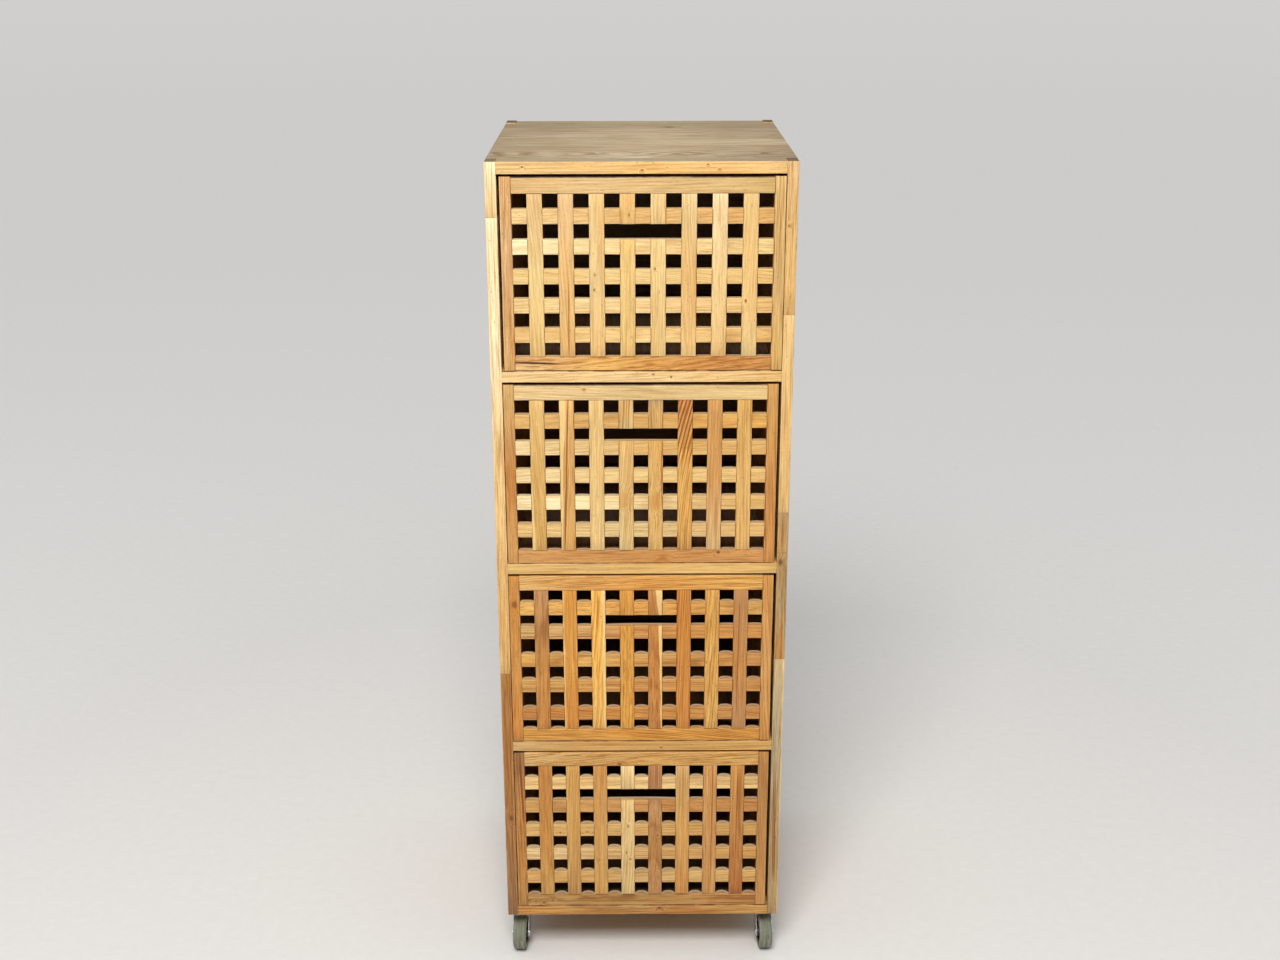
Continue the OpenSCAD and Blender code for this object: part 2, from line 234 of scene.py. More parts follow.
def makeTeakGroup():
    # Annual rings are shells round the pith: fract((distance from the pith + slow noise) / ring
    # width). Fibres, streaks and pores are noise drawn out along the grain. Grain is in metres:
    # along, then two ways across.
    tree, given, out = newGroup("teakFigure", [
        ("Grain", "Vector", None), ("Tone", "Color", None), ("Figure", "Vector", None),
        ("Marks", "Vector", None),
        ("Vein", "Vector", None), ("Strands", "Float", 1.0), ("Knot", "Vector", None),
        ("Corner", "Vector", None), ("Line Depth", "Float", 1.0), ("Fade", "Float", 0.0),
    ], [("Color", "Color"), ("Roughness", "Float"), ("Height", "Float")])
    grain = given["Grain"]
    along, acrossOne, acrossTwo = split(tree, grain)
    ringShare, streakShare, ringWidth = split(tree, given["Figure"])
    arris, endGrain, sapReach = split(tree, given["Marks"])
    veinReach, veinShare, veinWidth = split(tree, given["Vein"])

    slow = calc(tree, "SUBTRACT", noise(tree, grain, (5, 45, 45), 1.0), 0.5)
    quick = calc(tree, "SUBTRACT", noise(tree, grain, (30, 240, 240), 1.0), 0.5)
    knotAlong, knotAcross, knotDark = split(tree, given["Knot"])
    knotReach = vector(tree, "LENGTH", pack(tree, knotAlong, knotAcross, 0.0))
    knotPull = calc(tree, "MULTIPLY", mask(tree, knotReach, 4.0, 0.5), 0.004)
    wander = calc(tree, "MULTIPLY_ADD", slow, 0.0045, calc(tree, "MULTIPLY_ADD", quick, 0.0009, knotPull))
    flow = vector(tree, "ADD", grain, pack(tree, 0.0, wander, wander))
    reach = calc(tree, "ADD", vector(tree, "LENGTH", pack(tree, 0.0, acrossOne, acrossTwo)), wander)
    phase = calc(tree, "DIVIDE", calc(tree, "MULTIPLY", reach, 1000.0), ringWidth)
    uneven = noise(tree, pack(tree, calc(tree, "MULTIPLY", along, 12.0),
        calc(tree, "MULTIPLY", reach, 260.0), 0.0), (1, 1, 1), 2.0)
    saw = calc(tree, "FRACT", calc(tree, "MULTIPLY_ADD", uneven, 0.6, phase))
    line = ramp(tree, saw, [(0.0, 0.80), (0.10, 1.0), (0.28, 0.55), (0.52, 0.12), (0.84, 0.0),
        (1.0, 0.80)])
    line = calc(tree, "MULTIPLY", line, mask(tree, uneven, 0.34, 0.62))

    fibre = noise(tree, flow, (30, 1300, 1300), 3.0, 0.65)
    streak = noise(tree, flow, (6.0, 260, 260), 3.0, 0.62)
    thread = mask(tree, noise(tree, flow, (9.0, 520, 520), 2.0, 0.6), 0.54, 0.66)
    fleck = mask(tree, noise(tree, flow, (170, 700, 700), 1.0), 0.715, 0.76)
    patch = noise(tree, grain, (2.6, 16, 16), 2.0)
    pore = mask(tree, noise(tree, grain, (190, 3600, 3600), 1.0), 0.60, 0.70)

    tone = given["Tone"]
    deep = mix(tree, 1.0, tone, (0.55, 0.40, 0.25, 1), "MULTIPLY")
    ruddy = mix(tree, 1.0, tone, (0.94, 0.74, 0.50, 1), "MULTIPLY")
    pale = mix(tree, 1.0, tone, (1.16, 1.22, 1.32, 1), "MULTIPLY")
    colour = mix(tree, calc(tree, "MULTIPLY", mask(tree, patch, 0.45, 0.72), 0.55), tone, ruddy)
    colour = mix(tree, calc(tree, "MULTIPLY", mask(tree, patch, 0.50, 0.28), 0.45), colour, pale)
    colour = mix(tree, calc(tree, "MULTIPLY", mask(tree, streak, 0.48, 0.30), streakShare), colour, pale)
    colour = mix(tree, calc(tree, "MULTIPLY", mask(tree, streak, 0.52, 0.66), streakShare), colour, ruddy)
    colour = mix(tree, calc(tree, "MULTIPLY", mask(tree, streak, 0.58, 0.72), streakShare), colour, deep)
    colour = mix(tree, calc(tree, "MULTIPLY", calc(tree, "MULTIPLY", line, ringShare),
        given["Line Depth"]), colour, deep)
    colour = mix(tree, calc(tree, "MULTIPLY", calc(tree, "MULTIPLY", thread, streakShare), 0.75), colour,
        deep)
    colour = mix(tree, calc(tree, "MULTIPLY", fleck, 0.75), colour,
        mix(tree, 1.0, tone, (0.34, 0.22, 0.14, 1), "MULTIPLY"))
    hair = noise(tree, flow, (16, 620, 620), 2.0, 0.6)
    grey = calc(tree, "MULTIPLY", calc(tree, "MULTIPLY_ADD", fibre, 0.75, 0.645),
        calc(tree, "MULTIPLY_ADD", hair, 0.6, 0.7))
    colour = mix(tree, 1.0, colour, pack(tree, grey, grey, grey), "MULTIPLY")

    sapEdge = calc(tree, "ADD", sapReach, calc(tree, "MULTIPLY", calc(tree, "ADD", slow, quick), 0.003))
    sapTone = mix(tree, fibre, (0.78, 0.48, 0.15, 1), (1.0, 0.76, 0.34, 1))
    colour = mix(tree, calc(tree, "MULTIPLY", mask(tree, sapEdge, -0.0006, 0.0010), 0.85), colour,
        sapTone)
    veinPlace = calc(tree, "ADD", veinReach, calc(tree, "MULTIPLY_ADD", slow, 0.0025,
        calc(tree, "MULTIPLY", quick, 0.0008)))
    folded = calc(tree, "SUBTRACT", calc(tree, "FRACT",
        calc(tree, "ADD", calc(tree, "DIVIDE", veinPlace, given["Strands"]), 0.5)), 0.5)
    veinFar = calc(tree, "DIVIDE", calc(tree, "ABSOLUTE",
        calc(tree, "MULTIPLY", folded, given["Strands"])), veinWidth)
    veinHeld = calc(tree, "MULTIPLY", veinShare, calc(tree, "MULTIPLY_ADD", streak, 0.7, 0.55),
        clamp=True)
    veinBand = calc(tree, "MULTIPLY", mask(tree, veinFar, 1.0, 0.6), veinHeld)
    veinRim = mask(tree, calc(tree, "ABSOLUTE", calc(tree, "SUBTRACT", veinFar, 0.55)), 0.45, 0.10)
    veinMask = calc(tree, "MULTIPLY", veinRim, veinHeld)
    colour = mix(tree, veinBand, colour, mix(tree, 1.0, tone, (0.82, 0.52, 0.28, 1), "MULTIPLY"))
    colour = mix(tree, veinMask, colour, mix(tree, 1.0, tone, (0.42, 0.20, 0.10, 1), "MULTIPLY"))
    crack = calc(tree, "MULTIPLY", mask(tree, veinFar, 1.0, 0.4),
        calc(tree, "SUBTRACT", veinShare, 1.0, clamp=True))
    colour = mix(tree, crack, colour, (0.045, 0.014, 0.008, 1))
    knotFar = calc(tree, "ADD", knotReach, calc(tree, "MULTIPLY", quick, 1.8))
    halo = mix(tree, 1.0, tone, (0.82, 0.60, 0.34, 1), "MULTIPLY")
    colour = mix(tree, calc(tree, "MULTIPLY", mask(tree, knotFar, 2.4, 0.9), 0.6), colour, halo)
    colour = mix(tree, calc(tree, "MULTIPLY", mask(tree, knotFar, 1.2, 0.6), knotDark), colour,
        (0.075, 0.032, 0.015, 1))
    colour = mix(tree, calc(tree, "MULTIPLY", pore, calc(tree, "MULTIPLY_ADD", line, 0.5, 0.22)), colour,
        deep)
    endTone = mix(tree, 0.6, mix(tree, 1.0, colour, (0.30, 0.26, 0.24, 1), "MULTIPLY"),
        (0.085, 0.068, 0.048, 1))
    colour = mix(tree, endGrain, colour, endTone)
    # Open arrises are made paler: partly wear, partly a painted highlight where an arris would catch the
    # light.
    worn = calc(tree, "MULTIPLY", arris, mask(tree, noise(tree, grain, (60, 300, 300)), 0.38, 0.60),
        clamp=True)
    colour = mix(tree, calc(tree, "MULTIPLY", worn, 0.32), colour,
        mix(tree, 0.4, pale, (0.74, 0.62, 0.48, 1)))
    # Painted light and shade on the upper face of a slat in each hole: the face is given a greyed tone,
    # partly for dust and partly for how the light falls on it, a pale band of painted light, and corners by
    # the uprights and at the back painted near-black as shade.
    nearness, deepness, counted = split(tree, given["Corner"])
    arch = calc(tree, "MULTIPLY_ADD", calc(tree, "MULTIPLY", nearness, nearness), 0.62,
        calc(tree, "MULTIPLY_ADD", slow, 0.5, deepness))
    ledge = mix(tree, 0.35, mix(tree, 1.0, tone, (0.80, 0.78, 0.74, 1), "MULTIPLY"),
        (0.48, 0.37, 0.23, 1))
    colour = mix(tree, calc(tree, "MULTIPLY", counted, calc(tree, "MULTIPLY_ADD", fibre, -0.5, 1.0)),
        colour, ledge)
    ledgeLight = calc(tree, "MULTIPLY", mask(tree, arch, 0.52, 0.80), calc(tree, "MULTIPLY", counted, 0.55))
    colour = mix(tree, ledgeLight, colour, (0.74, 0.62, 0.46, 1))
    cornerShade = mask(tree, arch, 0.82, 1.14)
    colour = mix(tree, calc(tree, "MULTIPLY", cornerShade, calc(tree, "MULTIPLY", counted, 0.94)), colour,
        (0.022, 0.015, 0.011, 1))
    # Arrises in a joint are darkened as dirt; arrises that face a gap get the same dark brown, a little
    # stronger, as painted shade.
    filled = mask(tree, noise(tree, grain, (45, 45, 45), 2.0), 0.62, 0.38)
    jointDirtAndGapShade = calc(tree, "MULTIPLY", calc(tree, "MULTIPLY", arris, -0.75, clamp=True),
        calc(tree, "MULTIPLY_ADD", filled, 0.75, 0.25))
    colour = mix(tree, jointDirtAndGapShade, colour, mix(tree, 1.0, tone, (0.28, 0.17, 0.10, 1), "MULTIPLY"))
    dusty = mix(tree, 0.35, colour, (0.36, 0.29, 0.19, 1))
    colour = mix(tree, calc(tree, "MULTIPLY", mask(tree, noise(tree, grain, (9, 40, 40), 3.0), 0.42,
        0.66), given["Fade"]), colour, dusty)
    tree.links.new(colour, out["Color"])

    rough = calc(tree, "MULTIPLY_ADD", fibre, 0.16, 0.40)
    rough = calc(tree, "MULTIPLY_ADD", endGrain, 0.2,
        calc(tree, "MULTIPLY_ADD", given["Fade"], 0.18, rough))
    tree.links.new(calc(tree, "MULTIPLY_ADD", line, 0.06, rough), out["Roughness"])
    height = calc(tree, "MULTIPLY_ADD", pore, -0.5, calc(tree, "MULTIPLY", fibre, 0.22))
    height = calc(tree, "MULTIPLY_ADD", line, 0.10, calc(tree, "MULTIPLY_ADD", veinMask, -0.5, height))
    tree.links.new(height, out["Height"])
    return tree


def makeGrimeGroup():
    # Two sizes of noise, multiplied: broad patches broken up by specks.
    tree, given, out = newGroup("settledGrime", [
        ("Color", "Color", None), ("Grime", "Color", None), ("Place", "Vector", None),
        ("Amount", "Float", 0.5),
    ], [("Color", "Color"), ("Mask", "Float")])
    broad = mask(tree, noise(tree, given["Place"], (30, 30, 30), 3.0, 0.6), 0.38, 0.68)
    speck = mask(tree, noise(tree, given["Place"], (420, 420, 420), 2.0), 0.30, 0.75)
    amount = calc(tree, "MULTIPLY", calc(tree, "MULTIPLY", broad, speck), given["Amount"], clamp=True)
    tree.links.new(mix(tree, amount, given["Color"], given["Grime"]), out["Color"])
    tree.links.new(amount, out["Mask"])
    return tree


teakGroup = makeTeakGroup()
grimeGroup = makeGrimeGroup()


def newMaterial(name, **fixed):  # fixed values go straight on the shader's own sockets
    made = bpy.data.materials.new(name)
    made.use_nodes = True
    shader = made.node_tree.nodes["Principled BSDF"]
    for label, value in fixed.items():
        shader.inputs[label].default_value = value
    return made, made.node_tree, shader.inputs


def bump(tree, height, strength, distance):
    made = tree.nodes.new("ShaderNodeBump")
    made.inputs["Strength"].default_value = strength
    made.inputs["Distance"].default_value = distance
    tree.links.new(height, made.inputs["Height"])
    return made.outputs[0]


# how far the ring lines show, how dusty and dry the face is, and how deep its relief goes, in metres
woodLooks = {
    "teakLattice": {"lines": 1.0, "fade": 0.10, "relief": 0.00022},
    "teakCabinet": {"lines": 0.9, "fade": 0.12, "relief": 0.00020},
    "teakTop": {"lines": 1.3, "fade": 0.28, "relief": 0.00024},
    "teakDrawerSide": {"lines": 0.8, "fade": 0.35, "relief": 0.00026},
    "plywood": {"lines": 0.7, "fade": 0.30, "relief": 0.00016},
}


def woodMaterial(name, look):
    made, tree, shader = newMaterial(name, **{"Specular IOR Level": 0.32})
    figure = useGroup(tree, teakGroup, {
        "Grain": attribute(tree, "grain"), "Tone": attribute(tree, "tone", "Color"),
        "Figure": attribute(tree, "figure"),
        "Marks": attribute(tree, "marks"), "Vein": attribute(tree, "vein"),
        "Strands": attribute(tree, "strands", "Fac"), "Knot": attribute(tree, "knot"),
        "Corner": attribute(tree, "corner"),
        "Line Depth": look["lines"], "Fade": look["fade"],
    })
    tree.links.new(figure["Color"], shader["Base Color"])
    tree.links.new(figure["Roughness"], shader["Roughness"])
    tree.links.new(bump(tree, figure["Height"], 0.6, look["relief"]), shader["Normal"])
    return made


def metalMaterial(name, light, dark, rough, rust):
    # Plated steel: mottled plating, fine scratches and specks of brown where the plating has gone.
    made, tree, shader = newMaterial(name)
    place = objectPlace(tree)
    mottle = noise(tree, place, (260, 260, 260), 3.0, 0.6)
    scratch = noise(tree, place, (4000, 300, 260), 2.0)
    plated = mix(tree, mask(tree, mottle, 0.35, 0.65), (*light, 1), (*dark, 1))
    rusty = useGroup(tree, grimeGroup, {"Color": plated, "Grime": (0.10, 0.055, 0.03, 1), "Place": place,
        "Amount": rust})
    tree.links.new(rusty["Color"], shader["Base Color"])
    tree.links.new(calc(tree, "SUBTRACT", 1.0, rusty["Mask"]), shader["Metallic"])
    tree.links.new(calc(tree, "MULTIPLY_ADD", scratch, 0.3, rough), shader["Roughness"])
    tree.links.new(bump(tree, calc(tree, "ADD", mottle, scratch), 0.25, 0.00008), shader["Normal"])
    return made


def rubberMaterial():
    # Streaks run round the wheel: noise read from (way round, way across), far finer across.
    made, tree, shader = newMaterial("greyRubber", **{"Specular IOR Level": 0.3})
    lathe = attribute(tree, "lathe")
    streak = noise(tree, lathe, (9, 700, 60), 2.0, 0.6)
    scuff = noise(tree, lathe, (120, 160, 120), 3.0, 0.6)
    base = mix(tree, mask(tree, streak, 0.30, 0.70), (0.125, 0.134, 0.094, 1), (0.27, 0.28, 0.20, 1))
    dusty = useGroup(tree, grimeGroup, {"Color": base, "Grime": (0.32, 0.31, 0.28, 1), "Place": lathe,
        "Amount": 0.55})
    dark = mix(tree, calc(tree, "MULTIPLY", mask(tree, scuff, 0.58, 0.72), 0.5), dusty["Color"],
        (0.05, 0.05, 0.045, 1))
    tree.links.new(dark, shader["Base Color"])
    tree.links.new(calc(tree, "MULTIPLY_ADD", scuff, 0.25, 0.55), shader["Roughness"])
    tree.links.new(bump(tree, calc(tree, "ADD", streak, scuff), 0.5, 0.0002), shader["Normal"])
    return made


def hubMaterial():
    made, tree, shader = newMaterial("hubPlastic", **{"Specular IOR Level": 0.45})
    place = objectPlace(tree)
    pit = noise(tree, place, (900, 900, 900), 2.0)
    base = mix(tree, pit, (0.010, 0.010, 0.010, 1), (0.026, 0.025, 0.024, 1))
    dusty = useGroup(tree, grimeGroup, {"Color": base, "Grime": (0.16, 0.14, 0.12, 1), "Place": place,
        "Amount": 0.45})
    tree.links.new(dusty["Color"], shader["Base Color"])
    tree.links.new(calc(tree, "MULTIPLY_ADD", dusty["Mask"], 0.4, 0.42), shader["Roughness"])
    tree.links.new(bump(tree, pit, 0.3, 0.0001), shader["Normal"])
    return made


materials = {name: woodMaterial(name, look) for name, look in woodLooks.items()}
materials["zincSteel"] = metalMaterial("zincSteel", (0.66, 0.67, 0.68), (0.46, 0.47, 0.48), 0.30, 0.35)
materials["brightSteel"] = metalMaterial("brightSteel", (0.74, 0.74, 0.75), (0.58, 0.58, 0.59), 0.18,
    0.18)
materials["hubPlastic"] = hubMaterial()
materials["greyRubber"] = rubberMaterial()
print("materials made:", len(materials))


axes = {"x": np.array([1.0, 0, 0]), "y": np.array([0, 1.0, 0]), "z": np.array([0, 0, 1.0])}
# arc steps at each corner, and how far the flat face's first point lies from it
section = {"steps": 3, "support": 0.0012}


def nodeBox(node):
    low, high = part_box(node)
    return np.array(low), np.array(high)


def sectionLoop(radii, support):
    # A rectangle with round corners as one loop, counter-clockwise from the low, low corner. For
    # each point: the signs of its corner, its offset along the face, its outward normal, its
    # corner's radius, and the arc it is on, 1 to 4, or 0.
    turn = np.linspace(0, math.pi / 2, section["steps"] + 1)
    corners = np.array([(-1, -1), (1, -1), (1, 1), (-1, 1)])
    rows = []
    for index, start in enumerate((math.pi, 1.5 * math.pi, 0.0, 0.5 * math.pi)):
        angle = start + turn
        arc = np.zeros((len(turn), 8))
        arc[:, 0:2] = corners[index]
        arc[:, 4] = np.cos(angle)
        arc[:, 5] = np.sin(angle)
        arc[:, 6] = radii[index]
        arc[:, 7] = index + 1
        onward = np.array([-math.sin(angle[-1]), math.cos(angle[-1])])
        after = (index + 1) % 4
        flat = np.zeros((2, 8))
        flat[:, 0:2] = corners[[index, after]]
        flat[0, 2:4] = onward * support
        flat[1, 2:4] = -onward * support
        flat[:, 4:6] = arc[-1, 4:6]
        flat[:, 6] = (radii[index], radii[after])
        rows += [arc, flat]
    return np.vstack(rows).T


def tubeFaces(rings, around, capped=True):
    # Quads between ring i and ring i + 1, and one face at each end.
    i, j = np.meshgrid(np.arange(rings - 1), np.arange(around), indexing="ij")
    k = (j + 1) % around
    quads = np.stack([i * around + j, i * around + k, (i + 1) * around + k, (i + 1) * around + j],
        axis=-1).reshape(-1, 4)
    ends = [list(range(around))[::-1], list(range((rings - 1) * around,
        rings * around))] if capped else []
    return quads.tolist() + ends


def sweep(centre, across, depth, spanA, spanD, radii, inset, crisp):
    # P = centre + across * a + depth * d, where (a, d) runs round a rectangle from spanA[0],
    # spanD[0] to spanA[1], spanD[1], whose corners are arcs of the given radii, drawn in by inset
    # at each station. The radii on the a < 0 side and on the a > 0 side are multiplied by crisp at
    # each station.
    thin = min((spanA[1] - spanA[0]).min(), (spanD[1] - spanD[0]).min())
    support = min(section["support"], 0.25 * (thin - 2 * max(radii)))
    signA, signD, offA, offD, normA, normD, radius, onArc = sectionLoop(radii, support)
    radius = radius * np.where(signA < 0, crisp[0][:, None], crisp[1][:, None])
    drawn = radius - np.minimum(inset[:, None], 0.85 * radius)
    midA, halfA = (spanA[1] + spanA[0])[:, None] / 2, (spanA[1] - spanA[0])[:, None] / 2
    midD, halfD = (spanD[1] + spanD[0])[:, None] / 2, (spanD[1] - spanD[0])[:, None] / 2
    a = midA + signA * (halfA - radius) + offA + normA * drawn
    d = midD + signD * (halfD - radius) + offD + normD * drawn
    points = centre[:, None] + across[:, None] * a[..., None] + depth[:, None] * d[..., None]
    return points.reshape(-1, 3), a, d, normA, normD, onArc


# tones named from one end to the other, as "rust>honey", at each share of the length
def toneAlong(tones, share):
    stops = np.array([linear(teakTones[name]) for name in tones.split(">")])
    places = np.linspace(0, 1, len(stops))
    return np.stack([np.interp(share, places, stops[:, channel]) for channel in range(3)], axis=-1)


boardRules = {
    "arris": 0.0006,  # m, rounding of the long edges
    "end": 0.0004,  # m, rounding of the two ends
    "jointArris": 0.25,  # share of the rounding that is left inside a joint
    "wave": 0.00010,  # m, how far a hand-planed edge wanders
    "step": 0.028,  # m between stations
    "ringWidths": (1.9, 4.6),  # mm
    "ringShares": (0.45, 1.0),
    "streakShares": (0.45, 0.95),
    "pith": (0.035, 0.12),  # m from the pith to the board
}


def board(low, high, along, depth, seed, tones, cut="quarter", laps=(), sap=None, vein=None, strands=1.0,
        knots=(),
          faces=None, arris=None, corners=None, wave=None, figure=None, lean=0.0, joined=(), nooks=(),
          arch=1.0, bare=0, dark=(), calm=1.0, endShade=1.0):
    # A board is a round-cornered rectangle carried along its grain. Its figure coordinates are its
    # own length, width and depth, turned about its length and moved off the pith, with a slight
    # slope, so that rings run out on its faces.
    draw = np.random.default_rng(seed)
    eAlong, eDepth = axes[along], axes[depth]
    eAcross = np.cross(eDepth, eAlong)
    size = np.abs(high - low)
    length, wide, deep = (float(size @ np.abs(axis)) for axis in (eAlong, eAcross, eDepth))
    arris = boardRules["arris"] if arris is None else arris
    wave = boardRules["wave"] if wave is None else wave
    end = boardRules["end"]
    cuts = [*laps, *(side[1:] for side in joined), *nooks]
    edges = np.array([edge for span in cuts for edge in span[:2]])
    plain = np.linspace(end, length - end, int(length / boardRules["step"]) + 2)
    if len(edges):
        plain = plain[np.abs(plain[:, None] - edges).min(axis=1) > 0.001]
    slit = 0.00008  # a lap's wall slopes by this much on each side
    ends = np.array([0, 0.3 * end, end, length - end, length - 0.3 * end, length])
    walls = np.concatenate([edges - slit, edges + slit])
    middles = np.array([sum(nook) / 2 for nook in nooks])
    spots = np.array(sorted(knots)).reshape(-1, 4)
    halfway = (spots[1:, 0] + spots[:-1, 0]) / 2
    s = np.unique(np.concatenate([ends, plain, walls[(walls > end) & (walls < length - end)], middles,
        halfway - slit, halfway + slit]))
    inset = np.interp(s, [0, 0.3 * end, end, length - end, length - 0.3 * end, length],
        np.array([0.85, 0.4, 0, 0, 0.4, 0.85]) * end)
    spanD = np.stack([np.zeros_like(s), np.full_like(s, deep)])
    for start, stop, lowD, highD in laps:
        inside = (s > start) & (s < stop)
        spanD[0, inside], spanD[1, inside] = lowD, highD
    bend = wave * (np.sin(s * draw.uniform(18, 34) + draw.uniform(0, 6))
        + 0.6 * np.sin(s * draw.uniform(50, 90) + draw.uniform(0, 6)))
    spanA = np.stack([-wide / 2 + 1.6 * wave + bend, wide / 2 - 1.6 * wave + bend])
    start = low * np.abs(eAlong) + (low + high) / 2 * np.abs(eAcross) + low * np.abs(eDepth)
    centre = start + eAlong * s[:, None]
    rows = np.ones((len(s), 1))
    crisp = np.ones((2, len(s)))
    for side, start, stop in joined:  # an arris that lies in a joint is sharp
        crisp[int(side > 0), (s > start) & (s < stop)] = boardRules["jointArris"]
    points, a, d, normA, normD, onArc = sweep(centre, rows * eAcross, rows * eDepth, spanA, spanD,
        corners or [arris] * 4, inset, crisp)
    station = np.repeat(s[:, None], a.shape[1], axis=1)

    turned = {"quarter": 0.0, "rift": 0.8, "flat": 1.45}[cut] + draw.normal(0, 0.16)
    pith = draw.uniform(*boardRules["pith"])
    slopes = draw.normal(0, 0.03, 2)
    lean = np.broadcast_to(lean, 2)  # sideways slope of the grain at the start and at the end

    def drift(reach):
        middle = length / 2 * (0.75 * lean[0] + 0.25 * lean[1])
        return lean[0] * reach + (lean[1] - lean[0]) * reach ** 2 / (2 * length) - middle

    place = draw.uniform(0, 9)
    grain = np.stack([
        station + place,
        math.cos(turned) * (a - drift(station)) - math.sin(turned) * d + pith
        + slopes[0] * (station - length / 2),
        math.sin(turned) * (a - drift(station)) + math.cos(turned) * d
        + slopes[1] * (station - length / 2),
    ], axis=-1)
    # tones are named from the top, or from the left
    share = 1 - s / length if along == "z" else s / length
    tone = np.repeat(toneAlong(tones, share)[:, None], a.shape[1], axis=1)
    facing = {"high": normD, "low": -normD, "right": normA, "left": -normA}
    for side, given in (faces or {}).items():  # a face can have tones of its own
        weight = np.clip((facing[side] - 0.3) / 0.5, 0, 1)[None, :, None]
        own = np.repeat(toneAlong(given, share)[:, None], a.shape[1], axis=1)
        tone = tone * (1 - weight) + own * weight
    tone = tone * draw.normal(1, 0.02) * (1 + draw.normal(0, 0.012, 3))
    drawn = (calm * draw.uniform(*boardRules["ringShares"]),
        calm * draw.uniform(*boardRules["streakShares"]), draw.uniform(*boardRules["ringWidths"]))
    drawn = figure or drawn
    openEnd = bare * (s - length / 2) > 0  # the half that ends in the open, not in a joint
    capMark = np.repeat((inset > 0.6 * end)[:, None], a.shape[1], axis=1)
    sapMark = np.full(a.shape, -1.0)
    if sap is not None:
        sapMark = np.sign(sap) * (a - drift(station)) - (wide / 2 - abs(sap))
    edge = np.repeat((onArc > 0)[None] * 1.0, len(s), axis=0) * ~capMark
    # the side of an arris that faces a gap is painted dark, as shade in the gap
    edge[:, np.isin(onArc, np.array(dark) + 1) & (np.abs(normA) > 0.4)] = -1.3
    # along these lengths an arris lies in a joint, where it is dark, and not made pale
    for side, start, stop in joined:
        edge = np.where((station > start) & (station < stop) & (side * a >= 0), -np.abs(edge), edge)
    edge = np.where((inset[:, None] > 0) & ~capMark, np.where(openEnd, 0.6, -1.0)[:, None], edge)
    marks = np.stack([edge, capMark * np.where(openEnd, 0.1, endShade)[:, None], sapMark], axis=-1)
    corner = np.zeros(a.shape + (3,))
    # painted light and shade on the face on the low side, in each nook: how near to a corner, how deep, and
    # how much it counts
    for start, stop in nooks:
        inside = (s >= start - slit) & (s <= stop + slit)
        near = np.abs(s[inside] - (start + stop) / 2) / ((stop - start) / 2) * arch
        corner[inside] = np.stack(np.broadcast_arrays(near[:, None], d[inside] / deep,
            np.clip(-normA * 2 - 0.9, 0, 1)), axis=-1)
    # the open ends at the finger slot get the painted ledge tone too
    corner = np.where((capMark & openEnd[:, None])[..., None], (0.0, 0.3, 0.9), corner)
    veins = np.zeros(a.shape + (3,)) + (1, 0, 0.001)
    # offset across, slope against the grain, its span in shares of the length, width, and strength,
    # up to 2
    if vein:
        offset, slope, begin, finish, width, *strength = vein
        middle = length * (begin + finish) / 2
        held = np.interp(station / length, [begin - 0.03, begin + 0.03, finish - 0.03, finish + 0.03],
            [0, 1, 1, 0])
        veins = np.stack([a - drift(station) + drift(middle) - offset - slope * (station - middle),
            held * (strength or [1.0])[0], np.full(a.shape, width)], axis=-1)
    knotPlace = np.full(a.shape + (3,), 9.0)
    # each one's place along, place across, radius and darkness; a station looks to the nearest
    if len(spots):
        spot = spots[np.searchsorted(halfway, s)][:, None]
        knotPlace = np.stack([(station - spot[..., 0]) / (1.5 * spot[..., 2]),
            (a - spot[..., 1]) / spot[..., 2], d * 0 + spot[..., 3]], axis=-1)
    return {
        "points": points, "faces": tubeFaces(len(s), a.shape[1]), "grain": grain,
        "tone": np.concatenate([tone, tone[..., :1] * 0 + 1], axis=-1),
        "figure": np.zeros(a.shape + (3,)) + drawn, "marks": marks, "vein": veins,
        "strands": np.full(a.shape, strands), "knot": knotPlace, "corner": corner,
    }


def lathe(profile, origin, axis, steps=96, loop=False):
    # P = origin + axis * h + r * (cos t * first + sin t * second), for a profile of (r, h) points.
    # An open profile starts and ends on the axis, where it closes in a point; a loop closes on
    # itself.
    axis = np.asarray(axis, float) / np.linalg.norm(axis)
    first = np.cross(axis, axes["z"] if abs(axis[2]) < 0.9 else axes["x"])
    first /= np.linalg.norm(first)
    second = np.cross(axis, first)
    r, h = np.asarray(profile, float).T
    t = np.arange(steps) * 2 * math.pi / steps
    ring = np.cos(t)[:, None] * first + np.sin(t)[:, None] * second
    rows = slice(None) if loop else slice(1, -1)
    points = np.asarray(origin) + axis * h[rows, None, None] + ring * r[rows, None, None]
    count = len(points)
    way = np.stack(np.broadcast_arrays(t[None] * r.max(), h[rows, None], r[rows, None]), axis=-1)
    if loop:
        i, j = np.meshgrid(np.arange(count), np.arange(steps), indexing="ij")
        k, after = (j + 1) % steps, (i + 1) % count
        faces = np.stack([i * steps + j, i * steps + k, after * steps + k, after * steps + j],
            axis=-1).reshape(-1, 4).tolist()
        return {"points": points.reshape(-1, 3), "faces": faces, "lathe": way.reshape(-1, 3)}
    faces = tubeFaces(count, steps, capped=False)
    j = np.arange(steps)
    k = (j + 1) % steps
    faces += np.stack([np.full(steps, count * steps), k, j], axis=-1).tolist()
    last = (count - 1) * steps
    faces += np.stack([last + j, last + k, np.full(steps, count * steps + 1)], axis=-1).tolist()
    poles = np.asarray(origin) + np.outer(h[[0, -1]], axis)
    poleWay = np.stack([[0, 0], h[[0, -1]], [0, 0]], axis=-1)
    return {
        "points": np.vstack([points.reshape(-1, 3), poles]), "faces": faces,
        "lathe": np.vstack([way.reshape(-1, 3), poleWay]),
    }


